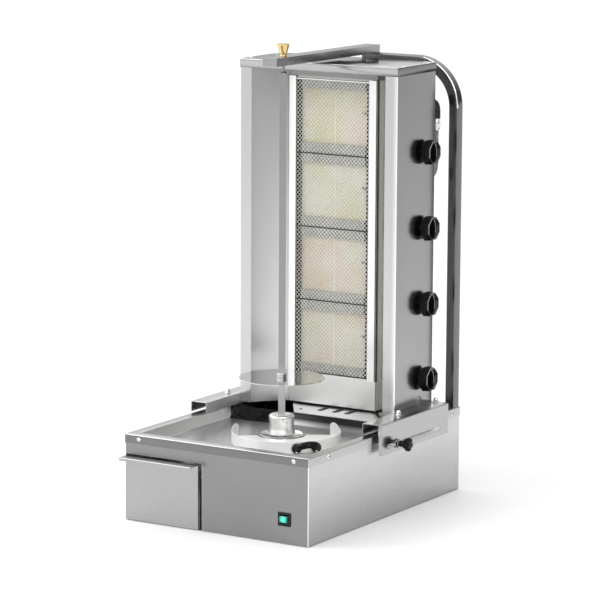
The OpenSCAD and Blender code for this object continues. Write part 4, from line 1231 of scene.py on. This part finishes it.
def make_gas_knobs():
    """Round-cornered knobs with a dished face and an upright grip bar."""
    body = [(4.1, 0), (26.4, 0), (27.8, 0.6), (28.4, 1.8), (28.3, 3.4), (27.6, 10), (26.9, 18), (26.2, 20.6),
            (25, 21.9), (23.8, 21.8), (23, 20.8), (19, 15.6), (16, 14.4), (4, 14.2)]
    for k in range(1, BURNERS + 1):
        node = f"gas_knob_{k}"
        x = box_mm(node)[0].x
        _, y, z = middle(node)
        bm = bmesh.new()
        lathe(bm, body, (x, y, z), "x", 96, octagon)
        bar = new_object(f"knob_bar_{k}", grip_bar(x, y, z), BLACK, 50)
        knob = new_object(f"gas_knob_body_{k}", bm, BLACK, 30)
        # Painted highlight on the upper bevel of the knob's front rim and on the grip bar's upper front edges.
        repaint(knob, EDGE_HIGHLIGHT, lambda p, n: p.x > x + 19.5 and 0.35 < n.x < 0.92 and n.y < 0.1 and n.z > -0.2)
        repaint(bar, EDGE_HIGHLIGHT, lambda p, n: 0.3 < n.x < 0.85 and n.y < -0.3 and p.z > z - 8)
        carve(knob, made(hole, 4.05, 16, (x - 2, y, z), "x"))
        dress(knob, node, "black_plastic", node)
        dress(bar, node, "black_plastic")


def grip_bar(x, y, z):
    """A bar across a knob's face that swells to its middle and has rounded edges."""
    length, steps = 46.6, 24
    sections = []
    for i in range(steps + 1):
        s = 2 * i / steps - 1
        half = 5.6 + 1.2 * (1 - s * s)
        top = 28.5 - 7 * abs(s) ** 3
        outline = fillet([(13.8, -half), (13.8, half), (top, half - 1.2), (top, 1.2 - half)], 1.6, closed=True)
        sections.append([(x + p.x, y + p.y, z + s * length / 2) for p in outline])
    bm = bmesh.new()
    skin(bm, sections)
    return bm


def make_gas_line():
    """Ribbed elbow, hexagon union and braided hose behind the tower, and the pipework inside it."""
    low, high = box_mm("gas_elbow")
    x = middle("gas_elbow").x
    back = box_mm("tower_shell")[1].y
    z, reach, bend, rib = high.z - 11, high.y - 11, 22, 5
    path = [Vector((x, back - 10, z))]
    path += [Vector((x, reach - bend + bend * c, z - bend + bend * s)) for c, s in arc(90, 0, 16)]
    path.append(Vector((x, reach, low.z)))
    fine = []
    for p, q in zip(path, path[1:]):
        steps = max(1, int((q - p).length / 0.9))
        fine += [p.lerp(q, i / steps) for i in range(steps)]
    fine.append(path[-1])
    total = len(fine) - 1
    piece("ribbed_elbow", made(tube, fine, lambda s: 10.2 + 0.7 * math.sin(2 * math.pi * s * total / rib), 32),
          IRON, "tower", "black_iron", "gas_elbow", auto=60)
    place = (x, reach, box_mm("gas_fitting")[0].z)
    bm = bmesh.new()
    lathe(bm, [(7.4, 0), (8.8, 0.8), (9, 1.6), (9, 5.2), (8, 6)], place)
    lathe(bm, [(11.3, 6), (12.4, 7), (12.4, 17), (11.3, 18)], place, "z", 72, hexagon)
    lathe(bm, [(8, 18), (9, 18.8), (8.4, 20), (9, 21.2), (8.4, 22.4), (9, 23.6), (8.4, 25), (9, 26), (9, 28)], place)
    piece("hose_union", bm, BRIGHT, "tower", "bright_metal", "gas_fitting")
    low, high = box_mm("gas_hose")
    out = 34
    knee = low.z + 7 + out
    path = [Vector((x, reach, high.z - (high.z - knee) * k / 24)) for k in range(24)]
    path += [Vector((x, reach - out + out * c, knee - out * s)) for c, s in arc(0, 90, 24)]
    path.append(Vector((x, back - 2, low.z + 7)))
    braided_hose(path)
    paint("gas_valves", BRASS)
    for k in range(1, BURNERS + 1):
        paint(f"valve_spindle_{k}", BRIGHT_X)
    paint("gas_manifold", BRIGHT)


def braided_hose(path):
    """A core tube under two sets of thin strands that wind round it in opposite directions."""
    core = new_object("hose_core", made(tube, path, 6.0, 16), SATIN_BLACK, 60)
    lengths = [0.0]
    for p, q in zip(path, path[1:]):
        lengths.append(lengths[-1] + (q - p).length)
    strands, lead = 12, 34.0
    samples = int(lengths[-1] / 1.5)
    stations = []
    for i in range(samples + 1):
        d = lengths[-1] * i / samples
        k = min(max(j for j in range(len(lengths)) if lengths[j] <= d + 1e-9), len(path) - 2)
        p = path[k].lerp(path[k + 1], (d - lengths[k]) / max(1e-9, lengths[k + 1] - lengths[k]))
        other = (path[k + 1] - path[k]).normalized().cross(Vector((1, 0, 0)))
        stations.append((p, other, 2 * math.pi * d / lead))
    bm = bmesh.new()
    for way in (-1, 1):
        for s in range(strands):
            line = []
            for p, other, wind in stations:
                turn = 2 * math.pi * s / strands + way * wind
                r = 6.4 + 0.25 * math.sin(strands * wind + way * math.pi / 2 + s * math.pi)
                line.append(p + (Vector((1, 0, 0)) * math.cos(turn) + other * math.sin(turn)) * r)
            tube(bm, line, 0.33, 4)
    dress(core, "tower", "braid", "gas_hose")
    piece("hose_braid", bm, BRAID, "tower", "braid", auto=80)


def make_plain_parts():
    """Small turned parts whose CAD meshes stay."""
    for node, material in (("clamp_boss", BRIGHT_X), ("pin_bush", BRIGHT), ("drive_shaft", BRIGHT)):
        paint(node, material)


# ---------- build

for make in (add_camera, add_studio, make_base_shell, make_lid, make_deck, make_drawer, make_switch,
             make_base_screws, make_clamp, make_inside, make_tube, make_pull_knob, make_spit, make_hub,
             make_scoop, make_handle, make_rails, make_tower_nuts, make_tower_shell, make_cover, make_reflectors,
             make_mesh, make_burners, make_gas_knobs, make_gas_line, make_plain_parts):
    make()
